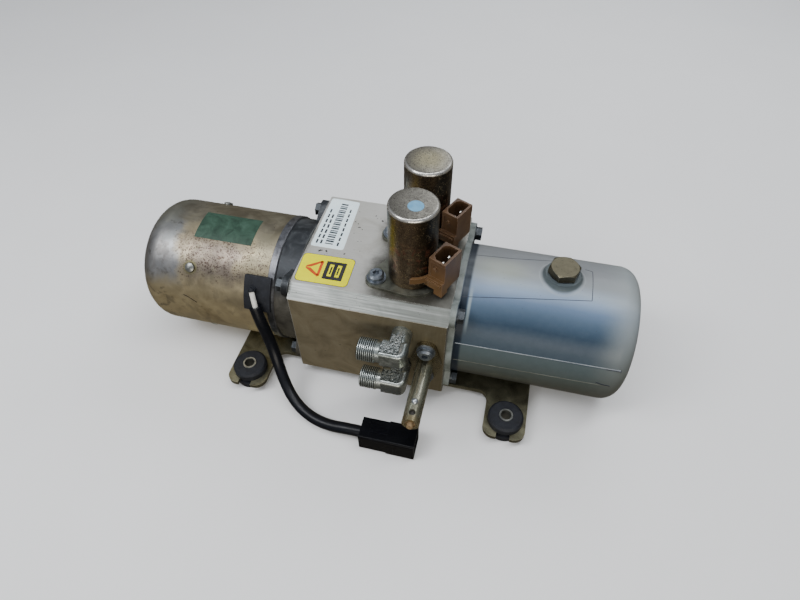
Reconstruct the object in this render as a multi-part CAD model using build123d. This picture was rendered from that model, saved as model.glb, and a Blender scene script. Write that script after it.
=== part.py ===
"""Compact 12 V hydraulic power unit: motor, valve block, gear pump and tank on a rubber-mounted plate.

Frame: millimetres, +Z up, origin at floor level in the centre of the four foot bolts.
+X runs from the electric motor to the oil tank, and -Y is the side with the hose ports.
"""
import math
import os

from build123d import *

# ---------------------------------------------------------------- driving dimensions
AXIS_Z = 58.0                      # height of the motor, pump and tank axis
FOOT_X, FOOT_Y = 111.0, 71.5       # half spacing of the foot bolts
PLATE_Z0, PLATE_Z1 = 7.0, 11.0     # mounting plate, 4 mm steel
NOTCH_Y, NOTCH_UNDER = 32.5, 6.0  # notches that clear the motor and the tank, and their reach under the block
BUSH_R, BUSH_H = 14.2, 18.0        # rubber bush
SLEEVE_R, SLEEVE_BORE_R, SLEEVE_H = 5.5, 4.25, 18.8

BLOCK_X0, BLOCK_X1 = -69.0, 56.0   # valve block
BLOCK_Y = 57.5
BLOCK_Z0, BLOCK_Z1 = PLATE_Z1, 107.0
FRONT_Y = -BLOCK_Y
SHAFT_TUNNEL_R, COUPLING_POCKET_R, COUPLING_POCKET_X = 7.0, 13.0, -40.0

CORNER_Y, CORNER_UP, CORNER_DOWN = 46.0, 42.5, 38.0    # flange screws, measured from the axis
EAR_R = 8.5

CAN_R, CAN_WALL = 54.0, 4.0        # deep-drawn motor can
CAN_X0, CAN_X1, CAN_CORNER_R = -210.5, -91.0, 20.0
ADAPTER_R, EAR_X = 53.0, -74.5
SHAFT_R, BEARING_R, BEARING_W = 7.5, 17.5, 11.0
RUN_GAP = 0.03                     # radial gap of every running fit
CORE_X0, CORE_X1, CORE_R = -180.0, -130.0, 32.3
COMM_X0, COMM_X1, COMM_R = -122.0, -104.0, 17.0
POLE_R, POLE_ANGLES, POLE_SCREW_X = 33.0, (48, 138, 228, 318), -160.0
POLE_HEAD_R, POLE_HEAD_H, POLE_HEAD_DOME_R = 3.8, 2.1, 8.0
BRUSH_ANGLES = (0, 90, 180, 270)

FLANGE_X1, TANK_X1 = 61.0, 193.0   # tank flange and closed end
TANK_R, TANK_WALL, TANK_CORNER_R, TANK_FLANGE_R = 54.0, 3.0, 14.0, 56.5
FILLER_X, BOSS_R, BOSS_TOP = 132.5, 13.5, 116.0
PLUG_R, PLUG_AF, PLUG_HEX_H, PLUG_TOP_R = 8.8, 21.0, 6.0, 10.3
SEAL_R, SEAL_H = 10.6, 1.0

GEAR_TEETH, GEAR_MODULE, GEAR_W = 10, 2.2, 12.0
GEAR_CENTRES = GEAR_TEETH * GEAR_MODULE
PUMP_X0, CAVITY_X0 = BLOCK_X1, 62.0
PUMP_X1, COVER_X1 = CAVITY_X0 + GEAR_W + 0.1, 84.0
GEAR_SHAFT_R = 6.0

COIL_X, COIL_YS = 21.0, (-19.0, 32.0)            # the two solenoid valves
COIL_R, COIL_WALL, COIL_Z1 = 18.25, 1.6, 178.0
FLANGE_T = 3.0
COIL_Z0 = BLOCK_Z1 + FLANGE_T
SCREW_DX, SCREW_DY = 25.5, 12.0                  # flange screws either side of a coil
LOBE_R, COIL_LOBE_R = 8.5, 24.0
CAVITY_R, CAVITY_Z0, SEAT_R = 10.0, 80.0, 4.0
TUBE_BORE_R, PLUNGER_R, TUBE_R, TUBE_Z1 = 5.6, 5.54, 7.0, 172.0
VALVE_STROKE = 3.0

CONN_TURN = -25.0                                # connectors stand turned about the vertical
CONN_DX, CONN_DY = 25.2, -6.8                    # from the coil's centre to the connector's
CONN_W, CONN_L, CONN_Z0, CONN_Z1 = 14.0, 20.5, 114.0, 142.0
CONN_WALL, CONN_DEPTH = 1.6, 18.0
CONN_BASE_Z0, CONN_BASE_Z1, CONN_SIDE, CONN_LIP = 115.0, 124.0, 3.0, 2.2   # wider base of the connector
CONN_ARM_R, CONN_ARM_L, CONN_ARM_Z0 = 20.8, 8.0, 119.0    # arm that wraps the front of the coil
BLADE_X, BLADE_Y, BLADE_PITCH, BLADE_TIP = 1.0, -0.6, 8.4, 5.2            # blade tips below the rim

PORT_X, PORT_ZS = 22.0, (83.0, 46.0)             # hose ports on the front face
ELBOW_Y, ELBOW_TIP_X, ELBOW_HALF = -78.5, -6.5, 8.0
PORT_THREAD_R, PORT_DEPTH = 6.5, 12.0
TUBE_THREAD_R, TUBE_THREAD_PITCH, TUBE_SEAT_R, TUBE_SEAT_L = 9.0, 1.5, 6.1, 9.0

PUMP_AXIS_X, PUMP_AXIS_Z = 41.5, 54.0            # hand pump
BARREL_R, BARREL_BORE_R, BARREL_END_Y = 6.7, 4.06, -116.0
BARREL_NOSE_R, BARREL_NOSE_Y = 8.0, -39.0
HAND_STROKE, HAND_SCREW_DZ = 10.0, 16.0
BALL_Y, BALL_R, LEVER_HOLE_Y, LEVER_HOLE_R = -100.5, 2.6, -109.5, 2.5

RELIEF_X, RELIEF_Z = -30.0, 80.0                 # relief valve in the back face
RELIEF_STROKE = 1.5

LEAD_R, SLEEVE_TUBE_R, SLEEVE_TUBE_BORE_R = 2.1, 4.75, 3.0
PAD_X0, PAD_X1, PAD_ANGLE, PAD_R1, PAD_HALF = -110.5, -88.3, 150.0, 57.4, 14.5
PAD_STEM_X = -103.5
LEAD_EXIT_X, LEAD_EXIT_ANGLE, LEAD_EXIT_R, LEAD_LEAN = -102.0, 147.0, 61.1, 0.30
NOSE_R, NOSE_L = 2.6, 2.4
PLUG_FACE_X, PLUG_Y, PLUG_Z = 0.0, -108.0, 9.5   # where the lead enters its connector

NODES = {}


# ---------------------------------------------------------------- helpers
def xcyl(r, x0, x1, y=0.0, z=AXIS_Z):
    return Pos((x0 + x1) / 2, y, z) * Rot(0, 90, 0) * Cylinder(r, x1 - x0)


def ycyl(r, y0, y1, x, z):
    return Pos(x, (y0 + y1) / 2, z) * Rot(90, 0, 0) * Cylinder(r, y1 - y0)


def zcyl(r, z0, z1, x=0.0, y=0.0):
    return Pos(x, y, (z0 + z1) / 2) * Cylinder(r, z1 - z0)


def block(x0, x1, y0, y1, z0, z1):
    return Pos((x0 + x1) / 2, (y0 + y1) / 2, (z0 + z1) / 2) * Box(x1 - x0, y1 - y0, z1 - z0)


def about_axis(shape, angle):
    """Turn a shape about the unit's X axis, from the +Y direction towards +Z."""
    return Pos(0, 0, AXIS_Z) * Rot(angle, 0, 0) * Pos(0, 0, -AXIS_Z) * shape


def polar(x, angle, r):
    a = math.radians(angle)
    return (x, r * math.cos(a), AXIS_Z + r * math.sin(a))


def turned(points, axis=Axis.X):
    """Solid of revolution from a closed outline given in the XY plane."""
    return revolve(make_face(Polyline(*points, close=True)), axis=axis)


def turned_on_axis(points):
    """Solid of revolution about the unit's axis; points are (x, radius)."""
    return Pos(0, 0, AXIS_Z) * turned(points)


def facing_x(x):
    """Plane across the unit's axis whose sketch coordinates are the unit's Y and Z."""
    return Plane(origin=(x, 0, 0), x_dir=(0, 1, 0), z_dir=(1, 0, 0))


def corner_points():
    return [(sy * CORNER_Y, AXIS_Z + dz) for sy in (-1, 1) for dz in (-CORNER_DOWN, CORNER_UP)]


def spring(r, wire_r, turns, z0, z1):
    """Compression spring standing on +Z between two heights."""
    height = z1 - z0 - 2 * wire_r
    path = Helix(pitch=height / turns, height=height, radius=r)
    section = Plane(path @ 0, z_dir=path % 0) * Circle(wire_r)
    return Pos(0, 0, z0 + wire_r) * sweep(section, path=path)


def torx_screw(shank_r=3.0, length=16.0):
    """Pan-head screw with a captive washer, standing on z = 0 with its shank below."""
    washer = zcyl(7.4, 0, 1.5)
    head = chamfer((zcyl(6.1, 1.5, 5.8)).edges().group_by(Axis.Z)[-1], 1.4)
    star = [((3.0 if i % 2 == 0 else 2.3) * math.cos(i * math.pi / 6),
             (3.0 if i % 2 == 0 else 2.3) * math.sin(i * math.pi / 6)) for i in range(12)]
    recess = Pos(0, 0, 3.2) * extrude(make_face(Polyline(*star, close=True)), amount=3)
    return washer + head - recess + zcyl(shank_r, -length, 0)


def hex_screw(length, shank_r=3.0, af=10.0, head_h=4.0, washer_r=6.2):
    """Hexagon-head screw with a washer, pointing along -Z from z = 0."""
    head = extrude(RegularPolygon(af / math.sqrt(3), 6), amount=head_h)
    return zcyl(washer_r, 0, 1.2) + Pos(0, 0, 1.2) * head + zcyl(shank_r, -length, 0)


def join(shapes):
    return Compound(children=[s for shape in shapes for s in shape.solids()])


# ---------------------------------------------------------------- block, plate and feet
def make_block():
    body = block(BLOCK_X0, BLOCK_X1, -BLOCK_Y, BLOCK_Y, BLOCK_Z0, BLOCK_Z1)
    front_top = body.edges().filter_by(Axis.X).sort_by(Axis.Z)[-2:].sort_by(Axis.Y)[0]
    body = chamfer(front_top, length=11.0, length2=9.0, reference=body.faces().sort_by(Axis.Z)[-1])
    body = chamfer(body.edges().filter_by(Axis.Z), 0.8)
    body -= xcyl(COUPLING_POCKET_R, BLOCK_X0, COUPLING_POCKET_X)
    body -= xcyl(SHAFT_TUNNEL_R, COUPLING_POCKET_X, BLOCK_X1)
    for y in COIL_YS:
        body -= zcyl(CAVITY_R, CAVITY_Z0, BLOCK_Z1, COIL_X, y)
        body -= zcyl(SEAT_R, CAVITY_Z0 - 8, CAVITY_Z0, COIL_X, y)
        for s in (-1, 1):
            body -= zcyl(3.1, BLOCK_Z1 - 15, BLOCK_Z1, COIL_X + s * SCREW_DX, y + s * SCREW_DY)
    for z in PORT_ZS:
        body -= ycyl(PORT_THREAD_R, FRONT_Y, FRONT_Y + PORT_DEPTH + 2, PORT_X, z)
    body -= ycyl(2.5, FRONT_Y + PORT_DEPTH, COIL_YS[0] - CAVITY_R + 2, PORT_X, PORT_ZS[0])
    body -= ycyl(2.5, FRONT_Y + PORT_DEPTH, COIL_YS[0], PORT_X, PORT_ZS[1])
    body -= zcyl(2.5, PORT_ZS[1], CAVITY_Z0, PORT_X - 1, COIL_YS[0])
    body -= ycyl(2.9, FRONT_Y, FRONT_Y + 12, 8.0, 30.0)
    body -= ycyl(BARREL_NOSE_R + 0.1, FRONT_Y, BARREL_NOSE_Y, PUMP_AXIS_X, PUMP_AXIS_Z)
    for s in (-1, 1):
        body -= ycyl(3.1, FRONT_Y, FRONT_Y + 15, PUMP_AXIS_X, PUMP_AXIS_Z + s * HAND_SCREW_DZ)
    body -= ycyl(7.0, BLOCK_Y - 26, BLOCK_Y, RELIEF_X, RELIEF_Z)
    body -= ycyl(2.5, BLOCK_Y - 34, BLOCK_Y - 26, RELIEF_X, RELIEF_Z)
    for y, z in corner_points():
        body -= xcyl(3.1, BLOCK_X0, BLOCK_X0 + 14, y, z)
        body -= xcyl(3.1, BLOCK_X1 - 14, BLOCK_X1, y, z)
    for y, z in pump_screw_points():
        body -= xcyl(2.6, BLOCK_X1 - 12, BLOCK_X1, y, z)
    body -= xcyl(3.1, BLOCK_X1 - 10, BLOCK_X1, 30, 74)
    for x, y in plate_screw_points():
        body -= zcyl(3.1, BLOCK_Z0, BLOCK_Z0 + 14, x, y)
    return body


def plate_screw_points():
    return [(x, y) for x in (-56.0, 43.0) for y in (-38.0, 38.0)]


def make_plate():
    half_x, web_y, arm_w, end_y = FOOT_X + 17.0, 48.5, 34.0, 88.5
    outline = Rectangle(2 * half_x, 2 * web_y)
    for sx in (-1, 1):
        outline += Pos(sx * FOOT_X, 0) * Rectangle(arm_w, 2 * end_y)
    inner = [v for v in outline.vertices() if abs(abs(v.X) - (FOOT_X - arm_w / 2)) < 0.1]
    inner = [v for v in inner if abs(abs(v.Y) - web_y) < 0.1]
    outline = fillet(inner, 8.0)
    outline = fillet([v for v in outline.vertices() if abs(abs(v.Y) - end_y) < 0.1], 9.0)
    for x0, x1 in ((-half_x - 12, BLOCK_X0 + NOTCH_UNDER), (BLOCK_X1 - NOTCH_UNDER, half_x + 12)):
        outline -= Pos((x0 + x1) / 2, 0) * RectangleRounded(x1 - x0, 2 * NOTCH_Y, NOTCH_UNDER)
    for sx in (-1, 1):
        for sy in (-1, 1):
            slot = Circle(8.7) + Pos(0, sy * 10) * Rectangle(11.0, 20.0)
            outline -= Pos(sx * FOOT_X, sy * FOOT_Y) * slot
    plate = Pos(0, 0, PLATE_Z0) * extrude(outline, amount=PLATE_Z1 - PLATE_Z0)
    for x, y in plate_screw_points():
        plate -= zcyl(3.2, PLATE_Z0, PLATE_Z1, x, y)
    return plate


def make_feet():
    bush = turned([(SLEEVE_R, 0), (BUSH_R - 1, 0), (BUSH_R, 1), (BUSH_R, PLATE_Z0 - 0.2),
                   (8.5, PLATE_Z0 - 0.2),
                   (8.5, PLATE_Z1 + 0.2), (BUSH_R, PLATE_Z1 + 0.2), (BUSH_R, BUSH_H - 1.6),
                   (BUSH_R - 1.6, BUSH_H), (SLEEVE_R, BUSH_H)], Axis.Y)
    bush = Rot(90, 0, 0) * bush
    sleeve = zcyl(SLEEVE_R, 0, SLEEVE_H) - zcyl(SLEEVE_BORE_R, 0, SLEEVE_H)
    spots = [Pos(sx * FOOT_X, sy * FOOT_Y, 0) for sx in (-1, 1) for sy in (-1, 1)]
    NODES["rubber_bushes"] = join([p * bush for p in spots])
    NODES["bush_sleeves"] = join([p * sleeve for p in spots])
    screw = Rot(180, 0, 0) * hex_screw(12.0, head_h=3.6)
    NODES["plate_screws"] = join([Pos(x, y, PLATE_Z0) * screw for x, y in plate_screw_points()])


# ---------------------------------------------------------------- electric motor
def can_shape(x0, x1, r, corner_r):
    arc_x = x0 + corner_r
    outline = make_face(Polyline((arc_x, 0), (x1, 0), (x1, r), (arc_x, r))
                        + RadiusArc((arc_x, r), (x0, r - corner_r), -corner_r)
                        + Polyline((x0, r - corner_r), (x0, 0), (arc_x, 0)))
    return Pos(0, 0, AXIS_Z) * revolve(outline, axis=Axis.X)


def make_can():
    outer = can_shape(CAN_X0, CAN_X1, CAN_R, CAN_CORNER_R)
    inner = can_shape(CAN_X0 + CAN_WALL, CAN_X1 + 1, CAN_R - CAN_WALL, CAN_CORNER_R - CAN_WALL)
    seat_x1 = CAN_X0 + CAN_WALL + 14
    seat = xcyl(BEARING_R + 3.5, CAN_X0 + CAN_WALL - 1, seat_x1) - xcyl(BEARING_R, CAN_X0 + CAN_WALL, seat_x1)
    can = outer - inner + seat
    for angle in POLE_ANGLES:
        can -= about_axis(Pos(POLE_SCREW_X, 50, AXIS_Z) * Rot(90, 0, 0) * Cylinder(3.0, 12), angle)
    window = Pos(PAD_STEM_X, 52, AXIS_Z) * Box(11.4, 10, 16.4)
    return can - about_axis(window, PAD_ANGLE)


def make_adapter():
    body = xcyl(ADAPTER_R, CAN_X1, BLOCK_X0) + xcyl(CAN_R - CAN_WALL - 0.1, CAN_X1 - 6, CAN_X1)
    for y, z in corner_points():
        body += extrude(facing_x(EAR_X) * ear_sketch(y, z), amount=BLOCK_X0 - EAR_X)
    body -= xcyl(46, CAN_X1 - 6, CAN_X1 + 2) - xcyl(BEARING_R + 4, CAN_X1 - 6, CAN_X1 + 2)
    body -= xcyl(BEARING_R, CAN_X1 - 6, CAN_X1 + 14)
    body -= xcyl(15.0, CAN_X1 + 14, BLOCK_X0)
    for y, z in corner_points():
        body -= xcyl(3.1, EAR_X, BLOCK_X0, y, z)
        body -= xcyl(6.5, CAN_X1 - 1, EAR_X, y, z)
    return body


def ear_sketch(y, z):
    """Rounded ear that runs from the axis out to one flange screw."""
    inner = Vector(0.55 * y, AXIS_Z + 0.55 * (z - AXIS_Z))
    return make_hull((Pos(y, z) * Circle(EAR_R) + Pos(inner.X, inner.Y) * Circle(16)).edges())


def make_field():
    ring = xcyl(CAN_R - CAN_WALL - 0.05, CORE_X0, CORE_X1) - xcyl(POLE_R, CORE_X0, CORE_X1)
    horn = xcyl(POLE_R + 4, CORE_X0, CORE_X1) - xcyl(POLE_R, CORE_X0, CORE_X1)
    pole = (ring & block(CORE_X0, CORE_X1, 20, 60, AXIS_Z - 14, AXIS_Z + 14)) \
        + (horn & block(CORE_X0, CORE_X1, 20, 60, AXIS_Z - 19, AXIS_Z + 19))
    pole -= Pos(POLE_SCREW_X, 45, AXIS_Z) * Rot(90, 0, 0) * Cylinder(3.0, 12)
    coil = xcyl(CAN_R - CAN_WALL - 0.6, CORE_X0 - 11, CORE_X1 + 7)
    coil -= xcyl(POLE_R + 4.6, CORE_X0 - 11, CORE_X1 + 7)
    coil = coil & block(CORE_X0 - 11, CORE_X1 + 7, 20, 60, AXIS_Z - 25, AXIS_Z + 25)
    coil -= block(CORE_X0 - 0.4, CORE_X1 + 0.4, 20, 60, AXIS_Z - 14.4, AXIS_Z + 14.4)
    dome = Pos(0, 0, POLE_HEAD_H - POLE_HEAD_DOME_R) * Sphere(POLE_HEAD_DOME_R)
    head = zcyl(POLE_HEAD_R, 0, POLE_HEAD_H) & dome
    shank = zcyl(2.95, 41, CAN_R + 0.1)
    screw = Pos(POLE_SCREW_X, 0, AXIS_Z) * Rot(-90, 0, 0) * (shank + Pos(0, 0, CAN_R + 0.1) * head)
    NODES["pole_shoes"] = join([about_axis(pole, a) for a in POLE_ANGLES])
    NODES["field_coils"] = join([about_axis(coil, a) for a in POLE_ANGLES])
    NODES["pole_screws"] = join([about_axis(screw, a) for a in POLE_ANGLES])


def make_rotor():
    NODES["motor_shaft"] = chamfer(xcyl(SHAFT_R, CAN_X0 + 6, -55).edges().filter_by(GeomType.CIRCLE), 0.8)
    core = xcyl(CORE_R, CORE_X0, CORE_X1) - xcyl(SHAFT_R, CORE_X0, CORE_X1)
    winding = xcyl(30, CORE_X0 - 10, CORE_X0) + xcyl(30, CORE_X1, COMM_X0)
    winding -= xcyl(SHAFT_R + 4, CORE_X0 - 10, COMM_X0)
    for i in range(16):
        angle = i * 22.5
        core -= about_axis(block(CORE_X0, CORE_X1, 20, CORE_R + 1, AXIS_Z - 2, AXIS_Z + 2), angle)
        bar = block(CORE_X0 - 0.5, CORE_X1 + 0.5, 21, 29.5, AXIS_Z - 1.9, AXIS_Z + 1.9)
        winding += about_axis(bar, angle)
    commutator = xcyl(COMM_R, COMM_X0, COMM_X1) - xcyl(SHAFT_R, COMM_X0, COMM_X1)
    for i in range(16):
        bar_gap = block(COMM_X0, COMM_X1, COMM_R - 1, COMM_R + 1, AXIS_Z - 0.4, AXIS_Z + 0.4)
        commutator -= about_axis(bar_gap, i * 22.5)
    NODES["armature_core"] = core
    NODES["armature_winding"] = winding
    NODES["commutator"] = commutator
    sleeve = xcyl(11, -66, -45) - xcyl(SHAFT_R, -66, -55) - xcyl(GEAR_SHAFT_R, -55, -45)
    NODES["shaft_coupling"] = sleeve
    bearing = xcyl(BEARING_R, 0, BEARING_W) - xcyl(SHAFT_R + RUN_GAP, 0, BEARING_W)
    race_gap = (xcyl(14.5, -1, 1) - xcyl(10.5, -1, 1)) + (xcyl(14.5, BEARING_W - 1, BEARING_W + 1)
                                                         - xcyl(10.5, BEARING_W - 1, BEARING_W + 1))
    bearing -= race_gap
    NODES["shaft_bearings"] = join([Pos(CAN_X0 + CAN_WALL, 0, 0) * bearing, Pos(-88, 0, 0) * bearing])
    NODES["shaft_seal"] = xcyl(15.0, -76, -70) - xcyl(SHAFT_R + RUN_GAP, -76, -70)


def make_brushes():
    x0, x1 = -117.5, -105.5
    plate = xcyl(CAN_R - CAN_WALL - 1, -103.5, -100.5) - xcyl(22, -103.5, -100.5)
    box = block(x0, -103.5, 20, 42, AXIS_Z - 6.5, AXIS_Z + 6.5) \
        - block(x0 + 1.5, x1 + 0.5, 18, 40, AXIS_Z - 4.6, AXIS_Z + 4.6)
    brush = block(x0 + 2, x1, COMM_R + 0.25, 31, AXIS_Z - 4, AXIS_Z + 4)
    coil = Pos((x0 + 2 + x1) / 2, 0, AXIS_Z) * Rot(-90, 0, 0) * spring(3.0, 0.5, 5, 31.1, 39.9)
    holder = plate
    for angle in BRUSH_ANGLES:
        holder += about_axis(box, angle)
    NODES["brush_holder"] = holder
    NODES["brushes"] = join([about_axis(brush, a) for a in BRUSH_ANGLES])
    NODES["brush_springs"] = join([about_axis(coil, a) for a in BRUSH_ANGLES])


# ---------------------------------------------------------------- motor lead
def lead_direction():
    a = math.radians(LEAD_EXIT_ANGLE)
    return Vector(LEAD_LEAN, -math.sin(a), math.cos(a)).normalized()


def lead_route():
    """The lead leaves the grommet downwards, swings out to the floor and ends in its connector."""
    start = Vector(*polar(LEAD_EXIT_X, LEAD_EXIT_ANGLE, LEAD_EXIT_R))
    points = [start, start + lead_direction() * 13.0]
    points += [Vector(*p) for p in ((-94.5, -62.0, 69.2), (-91.3, -63.2, 55.4), (-87.8, -65.9, 41.2),
                                    (-82.4, -72.4, 27.8), (-74.9, -81.9, 17.2), (-66.0, -90.9, 10.8),
                                    (-54.7, -98.7, 6.8), (-41.5, -104.1, 5.2), (-27.7, -107.0, 6.1),
                                    (-13.5, PLUG_Y, PLUG_Z), (PLUG_FACE_X, PLUG_Y, PLUG_Z))]
    return points


def bend_radii(points):
    radii = []
    for a, b, c in zip(points, points[1:], points[2:]):
        turn = math.radians((b - a).get_angle(c - b))
        radii.append(0.45 * min((b - a).length, (c - b).length) / math.tan(turn / 2))
    return radii


def route_path(points):
    radii = bend_radii(points)
    print("bend radii", [round(r) for r in radii])
    return FilletPolyline(*points, radius=radii)


def make_lead():
    for name, points, outer, bore in (("motor_lead", lead_route(), LEAD_R, 0.0),
                                      ("lead_sleeve", lead_route()[1:], SLEEVE_TUBE_R, SLEEVE_TUBE_BORE_R)):
        path = route_path(points)
        ring = Circle(outer) - Circle(bore) if bore else Circle(outer)
        tube = sweep(Plane(path @ 0, z_dir=path % 0) * ring, path=path)
        area = math.pi * (outer ** 2 - bore ** 2)
        ratio = tube.volume / (area * path.length)
        print(name, "length", round(path.length, 1), "volume ratio", round(ratio, 4))
        NODES[name] = tube


def make_grommet():
    pad = xcyl(PAD_R1, PAD_X0, PAD_X1) - xcyl(CAN_R + 0.1, PAD_X0, PAD_X1)
    pad = pad & about_axis(block(PAD_X0, PAD_X1, 30, 62, AXIS_Z - PAD_HALF, AXIS_Z + PAD_HALF), PAD_ANGLE)
    stem = Pos(PAD_STEM_X, 52.5, AXIS_Z) * Box(11, 6, 16)
    start = Vector(*polar(LEAD_EXIT_X, LEAD_EXIT_ANGLE, LEAD_EXIT_R))
    nose = Plane(start - lead_direction() * NOSE_L, z_dir=lead_direction()) * \
        Cylinder(NOSE_R, NOSE_L, align=(Align.CENTER, Align.CENTER, Align.MIN))
    rib = about_axis(block(LEAD_EXIT_X - NOSE_R, LEAD_EXIT_X + NOSE_R, PAD_R1 - 2, LEAD_EXIT_R,
                           AXIS_Z - NOSE_L, AXIS_Z), LEAD_EXIT_ANGLE)
    return pad + about_axis(stem, PAD_ANGLE) + nose + rib


def make_lead_connector():
    x = PLUG_FACE_X
    body = fillet(block(x, x + 22, PLUG_Y - 9.6, PLUG_Y + 9.2, 0.6, 19).edges().filter_by(Axis.X), 1.5)
    hood = fillet(block(x + 22, x + 45, PLUG_Y - 10.2, PLUG_Y + 9.8, 0, 20).edges().filter_by(Axis.X), 2.0)
    socket = block(x + 27, x + 45, PLUG_Y - 8.2, PLUG_Y + 7.8, 2, 18)
    latch = block(x + 8, x + 24, PLUG_Y - 3, PLUG_Y + 3, 18, 19.9)
    NODES["lead_connector"] = body + hood - socket + latch
    NODES["lead_terminals"] = join([block(x + 27, x + 37, PLUG_Y + s * 4 - 0.4,
                                          PLUG_Y + s * 4 + 0.4, 6.5, 12.5)
                                    for s in (-1, 1)])


# ---------------------------------------------------------------- tank and gear pump
def make_tank():
    outer = mirror(can_shape(-TANK_X1, -BLOCK_X1, TANK_R, TANK_CORNER_R), Plane.YZ)
    inner = mirror(can_shape(-TANK_X1 + TANK_WALL, -BLOCK_X1, TANK_R - TANK_WALL,
                             TANK_CORNER_R - TANK_WALL), Plane.YZ)
    flange = xcyl(TANK_FLANGE_R, BLOCK_X1, FLANGE_X1)
    for y, z in corner_points():
        flange += extrude(facing_x(BLOCK_X1) * ear_sketch(y, z), amount=FLANGE_X1 - BLOCK_X1)
    boss = zcyl(BOSS_R, AXIS_Z + TANK_R - 8, BOSS_TOP, FILLER_X)
    tank = outer + flange + boss - inner
    tank -= zcyl(PLUG_R + 0.1, AXIS_Z, BOSS_TOP, FILLER_X)
    groove_r = TANK_R - 0.9
    tank -= xcyl(groove_r + 1.5, BLOCK_X1, BLOCK_X1 + 2.8) - xcyl(groove_r - 1.5, BLOCK_X1, BLOCK_X1 + 2.8)
    for y, z in corner_points():
        tank -= xcyl(3.2, BLOCK_X1, FLANGE_X1, y, z)
    NODES["tank"] = tank
    NODES["tank_seal"] = Pos(BLOCK_X1 + 1.35, 0, AXIS_Z) * Rot(0, 90, 0) * Torus(groove_r, 1.3)
    NODES["filler_seal"] = zcyl(SEAL_R, BOSS_TOP, BOSS_TOP + SEAL_H, FILLER_X) \
        - zcyl(PLUG_R + 0.25, BOSS_TOP, BOSS_TOP + SEAL_H, FILLER_X)
    z0 = BOSS_TOP + SEAL_H
    hexagon = extrude(RegularPolygon(PLUG_AF / math.sqrt(3), 6, rotation=12), amount=PLUG_HEX_H)
    cone = Cone(PLUG_TOP_R + PLUG_HEX_H * math.sqrt(3), PLUG_TOP_R, PLUG_HEX_H,
                align=(Align.CENTER, Align.CENTER, Align.MIN))
    NODES["filler_plug"] = Pos(FILLER_X, 0, z0) * (hexagon & cone) + zcyl(PLUG_R, BOSS_TOP - 12, z0, FILLER_X)
    screw = Rot(0, 90, 0) * hex_screw(11.0, washer_r=5.6)
    flip = Rot(0, -90, 0) * hex_screw(17.5, washer_r=5.6)
    NODES["flange_screws"] = join([Pos(FLANGE_X1, y, z) * screw for y, z in corner_points()]
                                  + [Pos(EAR_X, y, z) * flip for y, z in corner_points()])


def gear(width, phase):
    """Spur gear about Z with shortened involute teeth; one tooth points along angle phase."""
    pitch_r = GEAR_TEETH * GEAR_MODULE / 2
    base_r, tip_r, root_r = pitch_r * math.cos(math.radians(20)), pitch_r + 1.5, pitch_r - 2.3
    half_thickness = 1.35 / pitch_r

    def involute(r):
        if r <= base_r:
            return 0.0
        a = math.acos(base_r / r)
        return math.tan(a) - a

    half_base = half_thickness + involute(pitch_r)
    flank = [(r, half_base - involute(r)) for r in (base_r, 10.8, 11.5, 12.0, tip_r)]
    points = []
    for i in range(GEAR_TEETH):
        mid = phase + 2 * math.pi * i / GEAR_TEETH
        side = [(root_r, half_base)] + flank
        for r, half in side:
            points.append((r * math.cos(mid - half), r * math.sin(mid - half)))
        for r, half in reversed(side):
            points.append((r * math.cos(mid + half), r * math.sin(mid + half)))
    return extrude(make_face(Polyline(*points, close=True)), amount=width)


def pump_screw_points():
    return [(sy * 16.0, z) for sy in (-1, 1) for z in (AXIS_Z + 13, AXIS_Z - GEAR_CENTRES - 13)]


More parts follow.
